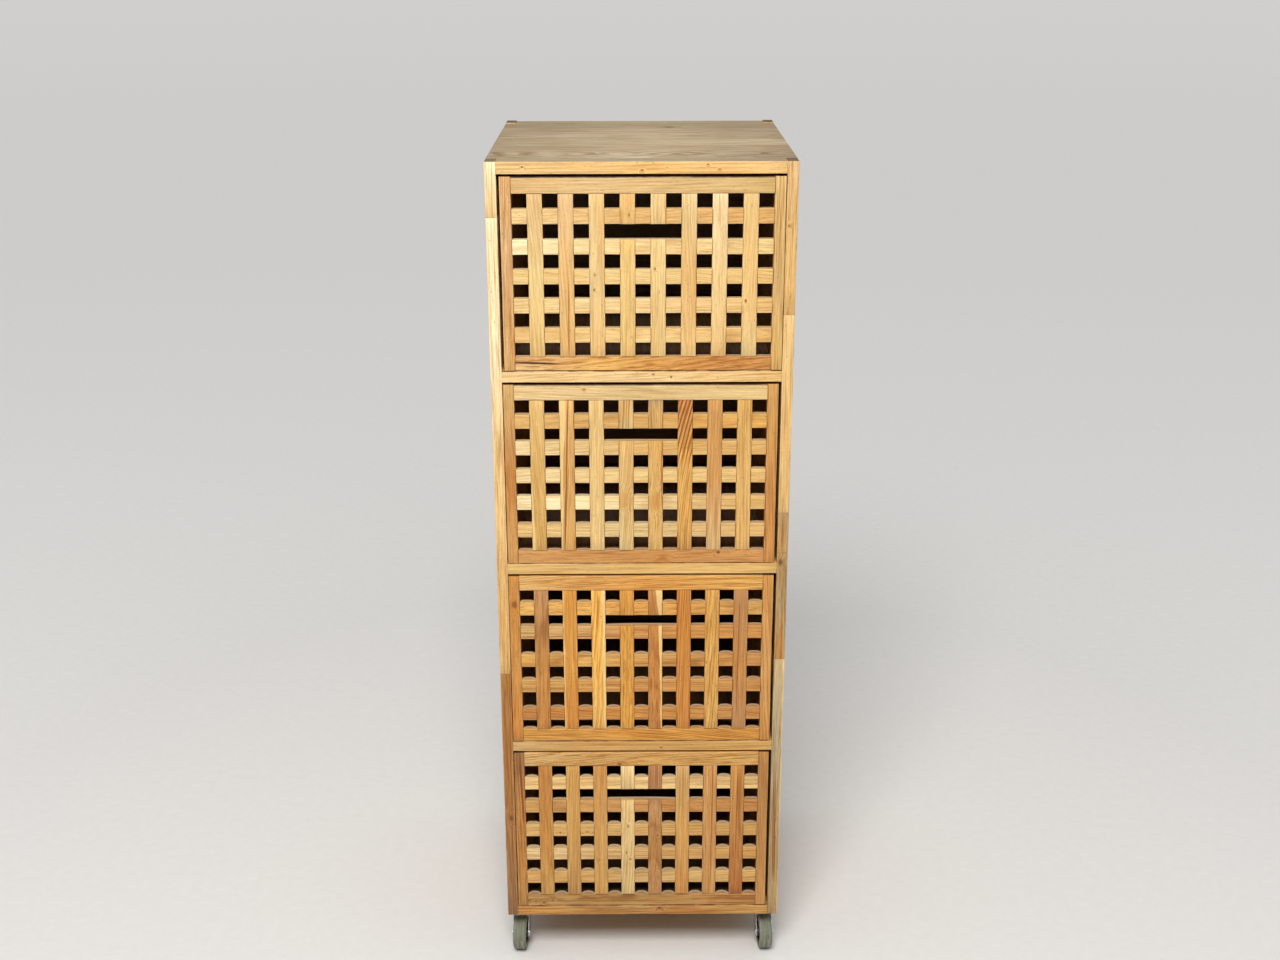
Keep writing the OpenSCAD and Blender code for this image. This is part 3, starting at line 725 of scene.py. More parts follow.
def eased(points, radius, steps=4, loop=True):
    # Each corner V with neighbours A and B becomes the curve (1-u)^2 A' + 2u(1-u) V + u^2 B', A'
    # and B' a radius from V.
    v = np.asarray(points, float)
    before, after = np.roll(v, 1, axis=0) - v, np.roll(v, -1, axis=0) - v
    back, on = np.linalg.norm(before, axis=1, keepdims=True), np.linalg.norm(after, axis=1, keepdims=True)
    reach = np.minimum(radius, 0.45 * np.minimum(back, on))
    first, last = v + before / back * reach, v + after / on * reach
    u = np.linspace(0, 1, steps)[None, :, None]
    curve = (1 - u) ** 2 * first[:, None] + 2 * u * (1 - u) * v[:, None] + u ** 2 * last[:, None]
    if loop:
        return curve.reshape(-1, 2)
    return np.vstack([v[:1], curve[1:-1].reshape(-1, 2), v[-1:]])


kinds = {"tone": ("FLOAT_COLOR", "color"), "grain": ("FLOAT_VECTOR", "vector"),
    "figure": ("FLOAT_VECTOR", "vector"),
         "marks": ("FLOAT_VECTOR", "vector"), "vein": ("FLOAT_VECTOR", "vector"),
         "knot": ("FLOAT_VECTOR", "vector"),
         "corner": ("FLOAT_VECTOR", "vector"), "strands": ("FLOAT", "value"),
         "lathe": ("FLOAT_VECTOR", "vector")}


def makePiece(name, parts, material, body, replaced):
    counts = [len(part["points"]) for part in parts]
    shifts = np.concatenate([[0], np.cumsum(counts)[:-1]])
    faces = [[int(index + shift) for index in face] for part,
        shift in zip(parts, shifts) for face in part["faces"]]
    mesh = bpy.data.meshes.new(name)
    mesh.from_pydata(np.vstack([part["points"] for part in parts]).tolist(), [], faces)
    for key, (kind, field) in kinds.items():
        if key in parts[0]:
            values = np.concatenate([np.asarray(part[key], np.float32).reshape(len(part["points"]),
                -1) for part in parts])
            mesh.attributes.new(key, kind, "POINT").data.foreach_set(field, values.ravel())
    mesh.materials.append(materials[material])
    mesh.polygons.foreach_set("use_smooth", np.ones(len(mesh.polygons), bool))
    mesh.set_sharp_from_angle(angle=math.radians(38))
    mesh.validate()
    made = bpy.data.objects.new(name, mesh)
    bpy.context.scene.collection.objects.link(made)
    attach(made, body)
    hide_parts(*replaced)
    return made


cabinet = {
    "postDeep": 0.030, "sideThick": 0.015,
    "topStaves": 6, "sideStaves": 6, "shelfStaves": 5,
    "gap": 0.00006,  # m between glued staves, so that the seam reads as a fine line
    "seamArris": 0.00015,
    "backGroove": 0.0049,  # m of the back panel at its ends that lies in a groove
    "backArris": 0.0003,
    "postWave": 0.00005,  # m by which a post's faces waver
}
caseLow, caseHigh = nodeBox("bottom_board")[0], nodeBox("top_board")[1]
innerHalf = caseHigh[0] - cabinet["sideThick"]
panelHalf = caseHigh[1] - cabinet["postDeep"]


shelfFronts = {  # tones from the left, rounding of the upper front arris in metres, brown flecks
    1: ("cream>cream>straw", 0.0024, [(0.202, -0.003, 0.0011, 0.8), (0.226, 0.001, 0.0013, 0.9)]),
    2: ("honey>honey>peach", 0.0012, []),
    3: ("khaki>tan>tan", 0.0020, [(0.214, 0.003, 0.0012, 0.6)]),
}


def staves(low, high, along, depth, count, seed, tones, **more):
    # Equal glued staves side by side; a list of tones is used in turn.
    eAcross = np.abs(np.cross(axes[depth], axes[along]))
    cuts = np.linspace(low @ eAcross, high @ eAcross, count + 1)
    made = []
    for index in range(count):
        lowS = low * (1 - eAcross) + eAcross * (cuts[index] + cabinet["gap"] / 2)
        highS = high * (1 - eAcross) + eAcross * (cuts[index + 1] - cabinet["gap"] / 2)
        chosen = {key: value[index % len(value)] if isinstance(value, list) else value for key,
            value in more.items()}
        made.append(board(lowS, highS, along, depth, seed + index, tones[index % len(tones)], wave=0,
            arris=cabinet["seamArris"], **chosen))
    return made


def frontStrip(low, high, seed, tones, top, under, edge, flecks, **more):
    # The first 30 mm of a board, whose front face shows: the upper front arris is rounded, and painted
    # dark, as shade, where it faces the drawer.
    arris, seam = boardRules["arris"], cabinet["seamArris"]
    return board(np.array([-innerHalf, low[1], low[2]]), np.array([innerHalf, -panelHalf, high[2]]), "x",
        "y", seed, tones, cut="rift", wave=0,
                 faces={"left": top, "right": under}, corners=[edge, arris, seam, seam], knots=flecks,
                 **more)


def notchedBoard(low, high, seed, tops, count, knots, under):
    # Behind the front strip of a full-size board: staves across the whole width, and a strip
    # between the rear posts.
    rear = board(np.array([-innerHalf, panelHalf, low[2]]), np.array([innerHalf, high[1], high[2]]), "x",
        "z", seed + 1, tops[-1], faces={"low": under}, wave=0, cut="rift")
    middle = staves(np.array([low[0], -panelHalf, low[2]]), np.array([high[0], panelHalf, high[2]]), "x",
        "z", count, seed + 2,
                    tops[:-1], faces={"low": under}, cut=["flat", "rift", "quarter"], knots=knots,
                    figure=(1.1, 1.5, 2.0), endShade=0.45)
    return [rear] + middle


def makeBoards():
    # The top and bottom boards and the three shelves: a front strip, with staves behind it.
    low, high = nodeBox("top_board")
    tops = ["weathered>bleached>greyed", "weathered>bleached>weathered", "weathered>bleached>bleached",
            "weathered>bleached>bleached>weathered", "weathered>bleached>weathered",
            "greyed>weathered>greyed", "greyed>weathered>greyed"]
    knots = [[(0.152, 0.016, 0.0022, 0.8)], (), (), (), (), [(0.245, -0.016, 0.006, 0.8)]]
    flecks = [(0.034, -0.001, 0.0009, 0.8), (0.1875, 0.003, 0.0013, 0.9), (0.287, 0.002, 0.0009, 0.8),
        (0.272, -0.004, 0.0009, 0.7)]
    # Its underside, over the top drawer, gets the near-black painted shade tone.
    strip = frontStrip(low, high, 11, "straw>corn>corn", "weathered>weathered>greyed", "dusk", 0.0010,
        flecks, calm=0.7)
    makePiece("topBoard", [strip] + notchedBoard(low, high, 11, tops, cabinet["topStaves"], knots,
        "dusk"), "teakTop", "cabinet", ["top_board"])
    low, high = nodeBox("bottom_board")
    plain = ["tan>honey", "honey", "amber>tan", "tan", "honey>tan", "tan>honey", "amber"]
    strip = frontStrip(low, high, 31, "rust>tan>umber>fawn>rust>tan>tan", "tan>honey", "fawn", 0.0028,
        [(0.212, -0.003, 0.0020, 0.85)],
                       dark=(0,), figure=(1.0, 1.2, 3.2), lean=(0.03, -0.03))
    makePiece("bottomBoard", [strip] + notchedBoard(low, high, 31, plain, cabinet["topStaves"], [()],
        "fawn>tan"), "teakCabinet", "cabinet", ["bottom_board"])
    for number, (tones, edge, flecks) in shelfFronts.items():
        low, high = nodeBox(f"shelf_{number}")
        low[0], high[0] = -innerHalf, innerHalf
        strip = frontStrip(low, high, 50 + 10 * number, tones, "tan", "tan", edge, flecks, dark=(0,),
            calm=0.8)
        low[1] = -panelHalf
        made = staves(low, high, "x", "z", cabinet["shelfStaves"], 51 + 10 * number,
            ["tan", "honey", "tan>amber", "tan"], cut=["flat", "quarter", "rift"])
        makePiece(f"shelf{number}", [strip] + made, "teakCabinet", "cabinet", [f"shelf_{number}"])


def makeSides():
    # Upright staves between the front and rear posts.
    for side, sign in (("left", -1), ("right", 1)):
        low, high = nodeBox(f"side_panel_{side}")
        low[1], high[1] = -panelHalf, panelHalf
        tones = ["honey>straw>honey", "tan>honey", "amber>honey>tan", "straw>honey", "honey>amber",
            "tan>honey>honey"]
        made = staves(low, high, "z", "x", cabinet["sideStaves"], 90 + 10 * sign, tones,
            cut=["flat", "rift", "quarter", "rift"])
        makePiece(f"sidePanel{side.title()}", made, "teakCabinet", "cabinet", [f"side_panel_{side}"])


# each corner post is glued end to end from lengths: height of the joint below, tones from the top,
# marks
postPieces = {
    "front_left": [
        (1.1191, "ivory>cream", {}),
        (0.4688, "ivory>ivory>straw>honey>honey", {"lean": 0.01}),
        (None, "umber>umber>walnut", {"knots": [(0.166, 0.0025, 0.0040, 0.7)],
            "vein": (0.003, 0.01, 0.25, 0.75, 0.0008)}),
    ],
    "front_right": [
        (0.9898, "pink>honey>peach", {"knots": [(0.118, -0.004, 0.0014, 0.7)]}),
        (0.7114, "straw>straw", {}),
        (0.6523, "drab>khaki", {"vein": (-0.001, 0.02, 0.05, 0.9, 0.0010)}),
        (0.4905, "drab>drab>rosy", {"knots": [(0.148, -0.002, 0.0028, 0.7)]}),
        (None, "reed>bleached>drab>drab", {"sap": 0.0015, "vein": (-0.001, -0.012, 0.16, 0.56, 0.0022)}),
    ],
    "rear_left": [(0.82, "honey>amber", {}), (0.36, "tan>honey", {}), (None, "amber>tan", {})],
    "rear_right": [(0.93, "tan>honey", {}), (0.41, "honey>straw", {}), (None, "tan>amber", {})],
}


def makePosts():
    # Lengths glued end to end, from the top down, with a fine gap at each joint.
    for index, (place, lengths) in enumerate(postPieces.items()):
        low, high = nodeBox("post_" + place)
        top, made = high[2], []
        for number, (foot, tones, marks) in enumerate(lengths):
            bottom = low[2] if foot is None else foot
            lowP, highP = np.array([low[0], low[1],
                bottom + (0 if foot is None else cabinet["gap"])]), np.array([high[0], high[1], top])
            made.append(board(lowP, highP, "z", "y", 130 + 10 * index + number, tones,
                cut="rift" if number % 2 else "quarter", wave=cabinet["postWave"], **marks))
            top = bottom
        makePiece("post" + place.title().replace("_", ""), made, "teakCabinet", "cabinet",
            ["post_" + place])


def makeBack():
    # One sheet, drawn without the tongues that lie in the grooves.
    low, high = nodeBox("back_panel")
    low[0], high[0] = -innerHalf, innerHalf
    low[2] += cabinet["backGroove"]
    high[2] -= cabinet["backGroove"]
    sheet = board(low, high, "z", "y", 170, "ply>honey>ply", cut="flat", wave=0, arris=cabinet["backArris"],
        figure=(0.5, 0.5, 6.0))
    makePiece("backPanel", [sheet], "plywood", "cabinet", ["back_panel"])


makeBoards()
makeSides()
makePosts()
makeBack()
print("cabinet dressed")


lattice = {
    "uprights": 8, "uprightWide": 0.020, "crosses": 5, "crossHigh": 0.020, "topRail": 0.022,
    "bottomRail": 0.019,
    "thick": 0.011, "stileWide": 0.015, "slotCross": 1,
    "fit": 0.00008,  # m of play at each side of a half lap
    "near": 0.001,  # m within which a lap counts as lying at the very end of an upright
    "butt": 0.00005,  # m left free at the end of an upright, and behind a half lap
    "flush": 0.00018,  # m, the most by which a slat lies behind its neighbour
}
# mm
slatDrops = {1: (0, 0.5, 0.5, 0, 0.5), 2: (0.5, -1, -0.5, -1, 0), 3: (-1.5, -4.5, -0.5, 0, 5),
    4: (-1, -2, -1.5, -1, -0.5)}

# Tones run from the left, or from the top. For each front: arch is how dark the painted shade in the
# corners of the ledges is, worn the rounding of the top rail, lid the tone of its upper face, painted dark
# as shade on drawers 1 and 2, outer the roundings of the two stiles, whose outer arrises are painted dark
# as shade in the gap, calm how much the figure shows, and inside the tones of the drawer's back and bottom,
# which on drawers 3 and 4 run to painted shade at their ends.
fronts = {
    1: {
        "arch": 0.45, "worn": 0.0026, "lid": "dusk", "outer": (0.0006, 0.0008), "calm": 0.5,
        "inside": ("smoke>dulled>smoke", "smoke>drab>smoke"),
        "stiles": ("pink>pink>peach", "khaki>khaki>tan"),
        "rails": ("pink>pink>khaki", "pink>wheat>orange>rust"),
        "uprights": ("pink>straw>honey", "pink>honey>peach", "straw>sand>straw", "peach>honey>honey",
                     "sand>straw>straw", "sand>honey>straw", "cream>straw>honey", "sand>straw>sand"),
        "crosses": ("straw>honey>peach", "ivory>cream>straw", "straw>straw>honey", "straw>cream>honey",
            "honey>straw>peach"),
        "marks": {
            "rail0": {"lean": -0.02, "figure": (0.35, 0.45, 3.0)},
            "rail1": {"vein": (-0.0010, 0.03, -0.02, 0.17, 0.0016, 2.0), "lean": (0.0, -0.05),
                "figure": (0.6, 1.2, 4.5)},
            "upright0": {"lean": (0.0, -0.12)}, "upright1": {"vein": (0.002, 0.012, 0.02, 0.45, 0.0010)},
            "upright2": {"knots": [(0.09, -0.004, 0.0012, 0.7), (0.11, -0.003, 0.0010, 0.6)],
                "lean": 0.02},
            "upright3": {"knots": [(0.012, 0.002, 0.0014, 0.5)]},
            "upright4low": {"knots": [(0.118, -0.004, 0.0012, 0.7)]},
            "upright7": {"lean": (0.0, 0.05), "knots": [(0.075, -0.005, 0.0014, 0.8)]},
            "cross2": {"lean": 0.03},
        },
    },
    2: {
        "arch": 0.6, "worn": 0.0024, "lid": "dusk", "outer": (0.0013, 0.0006), "calm": 0.75,
        "inside": ("bare>smoke>bare", "bare>smoke>bare"),
        "stiles": ("khaki>russet>rosy", "tan>rosy>rosy"), "rails": ("cream>sand>straw", "rosy>rust>rosy"),
        "uprights": ("honey>tan>tan", "peach>tan>tan", "straw", "khaki>honey>sand",
                     "drab>peach>peach", "russet>wheat>wheat>tan", "rosy>rosy>pink", "tan>peach>peach"),
        "crosses": ("peach>tan>wheat", "cream>honey>peach", "cream>straw>honey", "ivory>cream>honey",
            "honey>sand>honey"),
        "marks": {
            "rail0": {"lean": 0.02, "knots": [(0.094, -0.004, 0.0012, 0.6)]},
            "rail1": {"knots": [(0.200, 0.002, 0.0030, 0.12), (0.277, -0.006, 0.0016, 0.8)]},
            "upright0": {"sap": -0.0015, "lean": -0.03},
            "upright1": {"vein": (-0.0015, 0.0, 0.0, 1.0, 0.0011, 1.3), "lean": 0.032, "sap": -0.005,
                "figure": (0.9, 1.1, 3.0)},
            "upright3": {"figure": (0.9, 0.9, 2.6)}, "upright4": {"figure": (0.9, 0.9, 2.8)},
            "upright3low": {"knots": [(0.074, -0.004, 0.0050, 0.0)], "cut": "quarter"},
            "upright4low": {"knots": [(0.071, 0.001, 0.0050, 0.0)],
                "vein": (0.0085, 0.0, 0.45, 1.0, 0.0010), "cut": "quarter"},
            "upright5": {"vein": (-0.004, 0.0, 0.60, 1.04, 0.0011, 1.3), "strands": 0.0050,
                "lean": (0.02, 0.30), "cut": "quarter", "figure": (0.9, 1.2, 3.0)},
            "upright7": {"lean": 0.02}, "cross0": {"lean": 0.04}, "cross1": {"lean": -0.03},
            "cross2": {"knots": [(0.186, -0.002, 0.0014, 0.7)]},
        },
    },
    3: {
        "arch": 0.92, "worn": 0.0012, "lid": "tan", "outer": (0.0008, 0.0006), "calm": 1.0,
        "inside": ("dusk>bare>dusk", "dusk>bare>dusk"),
        "stiles": ("orange>orange>copper", "orange>rosy>orange"),
        "rails": ("honey>amber>wheat", "wheat>ochre>ochre"),
        "uprights": ("mauve>orange>russet", "ochre>ochre>copper", "gold>gold>wheat", "ochre",
                     "rust>russet>russet", "copper", "wheat", "mauve>rust>mauve"),
        "crosses": ("wheat>amber>tan", "khaki>rosy>orange", "wheat>tan>rust", "tan>rosy>rust",
            "rust>orange>rust"),
        "marks": {
            "stile0": {"knots": [(0.214, -0.001, 0.0040, 0.6)]},
            "rail0": {"lean": (-0.05, 0.02), "figure": (1.0, 1.1, 2.4)},
            "rail1": {"lean": (-0.02, 0.14), "figure": (1.3, 1.0, 2.6), "cut": "quarter"},
            "upright1": {"sap": -0.0016}, "upright2": {"sap": 0.0045, "lean": -0.01},
            "upright4": {"sap": 0.008, "lean": -0.10},
            "upright4low": {"sap": 0.0035, "lean": (0.0, -0.05)},
            "upright5": {"figure": (0.9, 0.9, 3.4), "lean": 0.03},
            "upright7": {"vein": (-0.003, 0.01, 0.1, 0.9, 0.0008)},
            "cross1": {"vein": (0.006, 0.0, 0.0, 0.45, 0.0010)},
            "cross0": {"lean": -0.05}, "cross4": {"lean": 0.03},
        },
    },
    4: {
        "arch": 1.0, "worn": 0.0012, "lid": "tan", "outer": (0.0013, 0.0006), "calm": 0.8,
        "inside": ("dusk>bare>dusk", "dusk>bare>dusk"),
        "stiles": ("walnut>rust>rust>fawn", "umber>umber>rosy"),
        "rails": ("khaki>tan>tan", "fawn>fawn>rust"),
        "uprights": ("rust>orange>tan", "tan>tan>fawn", "orange>tan>tan", "cream>straw>sand",
                     "mauve>mauve>umber>mauve", "khaki>tan>rosy", "rosy", "orange>rust>maroon"),
        "crosses": ("straw>straw>khaki", "tan>rosy>rust", "honey>peach>tan", "sand>khaki>tan",
            "peach>khaki>peach"),
        "marks": {
            "stile0": {"vein": (0.003, -0.035, 0.55, 0.98, 0.0018, 1.2)},
            "rail0": {"knots": [(0.1385, 0.008, 0.0026, 0.7)], "lean": (-0.07, 0.02),
                "figure": (1.0, 1.1, 3.0)},
            "rail1": {"knots": [(0.012, 0.002, 0.0014, 0.5), (0.024, 0.004, 0.0016, 0.5),
                (0.037, 0.0, 0.0014, 0.4)],
                      "figure": (1.4, 1.4, 2.2), "cut": "flat"},
            "cross0": {"sap": 0.006}, "cross1": {"knots": [(0.072, 0.002, 0.0012, 0.6)]},
            "cross2": {"knots": [(0.050, 0.004, 0.0014, 0.7), (0.090, 0.003, 0.0013, 0.7)]},
            "upright2": {"knots": [(0.059, -0.003, 0.0016, 0.6)]},
            "upright3": {"cut": "quarter"}, "upright3low": {"cut": "quarter",
                "knots": [(0.060, 0.003, 0.0012, 0.7), (0.071, -0.002, 0.0013, 0.6),
                    (0.116, 0.0, 0.0014, 0.5)]},
            "upright4": {"figure": (0.6, 0.7, 3.0)},
            "upright4low": {"cut": "flat", "knots": [(0.10, 0.004, 0.0014, 0.5)]},
            "upright6": {"vein": (0.003, 0.006, 0.05, 0.95, 0.0007)},
            "upright7": {"vein": (0.0, 0.006, 0.35, 0.95, 0.0008)},
            "cross3": {"lean": 0.05},
        },
    },
}


def latticeFront(number):
    # Equal holes: what the slats leave free of the width and the height is shared out. Each slat,
    # rail and stile is a board, and where two slats cross each has half its thickness cut away.
    front = fronts[number]
    marks = front["marks"]
    low = nodeBox(f"drawer_{number}_side_left")[0]
    high = nodeBox(f"drawer_{number}_side_right")[1]
    left, right = low[0] + lattice["stileWide"], high[0] - lattice["stileWide"]
    face, bottom, top = caseLow[1], low[2], high[2]
    lap, thick = lattice["thick"] / 2, lattice["thick"]
    railTop, railFoot = top - lattice["topRail"], bottom + lattice["bottomRail"]
    holeWide = (right - left - lattice["uprights"] * lattice["uprightWide"]) / (lattice["uprights"] + 1)
    holeHigh = (railTop - railFoot - lattice["crosses"] * lattice["crossHigh"]) / (lattice["crosses"] + 1)
    order = np.arange(lattice["crosses"])
    crossTops = railTop - holeHigh - order * (holeHigh + lattice["crossHigh"])
    crossTops = crossTops - np.array(slatDrops[number]) / 1000
    crossLows = crossTops - lattice["crossHigh"]
    lefts = left + holeWide + np.arange(lattice["uprights"]) * (holeWide + lattice["uprightWide"])
    draw = np.random.default_rng(700 + number)
    back = draw.uniform(0, lattice["flush"], 32)  # how far each slat lies behind the front plane

    fit, near = lattice["fit"], lattice["near"]
    wide, arris = lattice["uprightWide"], boardRules["arris"]
    # where the uprights are, along a rail
    bars = [(x - left - fit, x - left + wide + fit) for x in lefts]
    holes = [(start, stop) for start, stop in zip([0] + [bar[1] for bar in bars],
        [bar[0] for bar in bars] + [right - left])]
    beside = [(0, railFoot - bottom), (railTop - bottom, top - bottom)]
    beside += [(foot - bottom, head - bottom) for foot, head in zip(crossLows, crossTops)]
    # The stiles' outer front arrises are painted dark, as shade in the gap beside the drawer.
    uprights = [
        board(np.array([low[0], face, bottom]), np.array([left, face + thick, top]), "z", "y",
            200 * number, front["stiles"][0], corners=[front["outer"][0], arris, arris, arris],
            dark=(0,), joined=[(1, *span) for span in beside], **marks.get("stile0", {})),
        board(np.array([right, face, bottom]), np.array([high[0], face + thick, top]), "z", "y",
            200 * number + 1, front["stiles"][1], cut="rift",
            corners=[arris, front["outer"][1], arris, arris], dark=(1,),
            joined=[(-1, *span) for span in beside], **marks.get("stile1", {})),
    ]
    for index, x in enumerate(lefts):
        spans = [("", railFoot, railTop)]
        # cut in two at the finger slot
        if index in (lattice["uprights"] // 2 - 1, lattice["uprights"] // 2):
            spans = [("", crossLows[lattice["slotCross"] - 1], railTop),
                ("low", railFoot, crossTops[lattice["slotCross"]])]
        for name, foot, head in spans:
            laps = [(max(lowC - foot, -1) - fit, highC - foot + fit, 0.0, lap)
                for lowC, highC in zip(crossLows, crossTops)
                if lowC > foot - near and highC < head + near]
            laps = [(a if a > near else -1, b if b < head - foot - near else head - foot + 1, c, d)
                for a, b, c, d in laps]
            joined = [(side, start, stop) for side in (-1, 1) for start, stop, *_ in laps]
            tones = front["uprights"][index]
            if name == "low":
                tones = ">".join(tones.split(">")[1:] or [tones])
            seed = 200 * number + 10 + 2 * index + (name == "low")
            bare = {"low": 1, "": -1}[name] if len(spans) == 2 else 0
            cut = ("quarter", "rift", "quarter", "flat")[(index + number) % 4]
            given = marks.get(f"upright{index}{name}",
                marks.get(f"upright{index}", {}) if not name else {})
            lowU = np.array([x, face + back[index], foot + lattice["butt"]])
            highU = np.array([x + wide, face + thick, head - lattice["butt"]])
            uprights.append(board(lowU, highU, "z", "y", seed, tones, laps=cleanLaps(laps, head - foot),
                joined=joined, bare=bare, calm=front["calm"], **{"cut": cut, **given}))
    # The upper face of each cross slat, in each hole over it, gets the painted ledge light and corner
    # shade.
    crosses, slotHole = [], lattice["uprights"] // 2 - 1
    for index, (foot, head) in enumerate(zip(crossLows, crossTops)):
        laps = [(*bar, lap + lattice["butt"], thick) for bar in bars]
        under, arch = holes, front["arch"]
        if index == lattice["slotCross"]:  # the slat under the finger slot has one wide hole over it
            wideHole = (holes[slotHole][0], holes[slotHole + 2][1])
            under, arch = holes[:slotHole] + [wideHole] + holes[slotHole + 3:], 0.6 * front["arch"]
        lowC, highC = np.array([left, face + back[16 + index], foot]), np.array([right, face + thick, head])
        crosses.append(board(lowC, highC, "x", "y", 200 * number + 40 + index, front["crosses"][index],
            cut=("quarter", "rift", "flat")[(index + number) % 3], calm=front["calm"], laps=laps,
            nooks=under, arch=arch, **marks.get(f"cross{index}", {})))
    # The top rail's upper face and upper front arris lie in the gap under the shelf and are painted dark as
    # shade on drawers 1 and 2; the lower rail's lower front arris is painted dark as shade in the gap, and
    # its upper face in each hole gets the painted light and shade of a ledge.
    rails = [
        board(np.array([left, face + back[30], railTop]), np.array([right, face + thick, top]), "x", "y",
            200 * number + 60, front["rails"][0], faces={"left": front["lid"]},
            corners=[front["worn"], arris, arris, arris], dark=(0,) if front["lid"] == "dusk" else (),
            calm=front["calm"], joined=[(1, *bar) for bar in bars],
            **{"cut": "rift", **marks.get("rail0", {})}),
        board(np.array([left, face + back[31], bottom]), np.array([right, face + thick, railFoot]),
            "x", "y", 200 * number + 61, front["rails"][1], dark=(1,), calm=front["calm"],
            joined=[(-1, *bar) for bar in bars], nooks=holes, arch=front["arch"],
            **{"cut": "rift", **marks.get("rail1", {})}),
    ]
    body = f"drawer_{number}"
    makePiece(f"drawer{number}Uprights", uprights, "teakLattice", body, [f"drawer_{number}_uprights"])
    makePiece(f"drawer{number}CrossSlats", crosses, "teakLattice", body, [f"drawer_{number}_cross_slats"])
    makePiece(f"drawer{number}Rails", rails, "teakLattice", body, [f"drawer_{number}_rails"])


def cleanLaps(laps, length):  # a lap at the very end of a slat runs out through it
    return [(start if start > 0 else 0.0, stop if stop < length else length, lowD, highD)
        for start, stop, lowD, highD in laps]


drawerBox = {
    "runner": 0.003, "arris": 0.001,  # m, roundings of the lower outer edge and of the others
    "groove": 0.0059,  # m of the bottom at each side that lies in a groove
    "bottomArris": 0.0004,
}


def drawerBody(number):
    # The sides, the back and the bottom behind the lattice, each one board in its node's box.
    body = f"drawer_{number}"
    for side, sign in (("left", -1), ("right", 1)):
        low, high = nodeBox(f"drawer_{number}_side_{side}")
        low[1] = caseLow[1] + lattice["thick"]
        corners = [drawerBox["runner"] if sign < 0 else drawerBox["arris"], drawerBox["arris"],
            drawerBox["arris"], drawerBox["arris"] if sign < 0 else drawerBox["runner"]]
        made = board(low, high, "y", "x", 200 * number + 70 + sign, "bare>tan>bare", cut="flat",
            corners=corners, figure=(0.6, 0.5, 5.5))
        makePiece(f"drawer{number}Side{side.title()}", [made], "teakDrawerSide", body,
            [f"drawer_{number}_side_{side}"])
    # On drawers 3 and 4 the back and the bottom run to the near-black painted shade tone at their ends.
    low, high = nodeBox(f"drawer_{number}_back")
    made = board(low, high, "x", "y", 200 * number + 74, fronts[number]["inside"][0], cut="flat",
        figure=(0.6, 0.5, 5.0))
    makePiece(f"drawer{number}Back", [made], "teakDrawerSide", body, [f"drawer_{number}_back"])
    low, high = nodeBox(f"drawer_{number}_bottom")
    low[0] += drawerBox["groove"]
    high[0] -= drawerBox["groove"]
    made = board(low, high, "y", "z", 200 * number + 76, fronts[number]["inside"][1], cut="flat", wave=0,
        arris=drawerBox["bottomArris"], figure=(0.5, 0.5, 6.0))
    makePiece(f"drawer{number}Bottom", [made], "plywood", body, [f"drawer_{number}_bottom"])


for number in fronts:
    latticeFront(number)
    drawerBody(number)
print("drawers dressed")


castor = {
    "wheel": 0.025, "rim": 0.019, "tyreWide": 0.0195, "shoulder": 0.004, "grooves": (-0.0034, 0.0034),
    "grooveDeep": 0.00035, "grooveWide": 0.0007,
    "axle": 0.003, "boss": 0.007, "bossHalf": 0.01045, "webHalf": 0.0035, "rimHalf": 0.00875,
    "seat": 0.0188, "rimThick": 0.003,
    "legOuter": 0.01225, "steel": 0.0015, "legEnd": 0.007, "trail": 0.026, "crown": 0.0585, "bend": 0.003,
    "race": 0.013, "crownReach": 0.015,
    "headReach": 0.005, "headThick": 0.002, "cupTop": 0.0634, "upperRace": 0.0654, "plate": 0.067,
    "plateTop": 0.069,
    "plateHalf": 0.01802, "plateCorner": 0.003,
    "axlePlay": 0.00005,  # m between the axle and the hub
    "crownSlack": 0.0001,  # m below the crown's middle that still counts as its flat part
    "tyreEdge": 0.0006, "hubEdge": 0.0006, "steelEdge": 0.0005,  # m, small roundings
}


def tyreProfile():
    # Outer half: flat tread with two shallow grooves, quarter circles at the shoulders; closed
    # through the bore.
    half, r, shoulder = castor["tyreWide"] / 2, castor["wheel"], castor["shoulder"]
    t = np.linspace(0, math.pi / 2, 9)
    left = np.stack([r - shoulder + shoulder * np.sin(t), -(half - shoulder) - shoulder * np.cos(t)],
        axis=-1)
    h = np.linspace(-(half - shoulder), half - shoulder, 57)[1:-1]
    dip = sum(np.exp(-((h - groove) / castor["grooveWide"]) ** 4)
        for groove in castor["grooves"]) * castor["grooveDeep"]
    tread = np.stack([r - dip, h], axis=-1)
    right = np.stack([left[::-1, 0], -left[::-1, 1]], axis=-1)
    edge = castor["tyreEdge"]
    bore = np.array([[castor["rim"] + edge, half], [castor["rim"], half - edge],
        [castor["rim"], -half + edge], [castor["rim"] + edge, -half]])
    return np.vstack([left, tread, right, bore])


def hubProfile():
    # Radius and distance from the middle: boss, thin web and rim, with every corner rounded.
    bore, boss, seat = castor["axle"] + castor["axlePlay"], castor["boss"], castor["seat"]
    inner = seat - castor["rimThick"]
    side = [(boss, castor["webHalf"]), (inner, castor["webHalf"]), (inner, castor["rimHalf"]),
        (seat, castor["rimHalf"])]
    corners = [(bore, -castor["bossHalf"]), (boss, -castor["bossHalf"])] + [(r, -h) for r, h in side]
    corners += [(r, h) for r, h in side[::-1]] + [(boss, castor["bossHalf"]), (bore, castor["bossHalf"])]
    return eased(corners, castor["hubEdge"])[::-1]


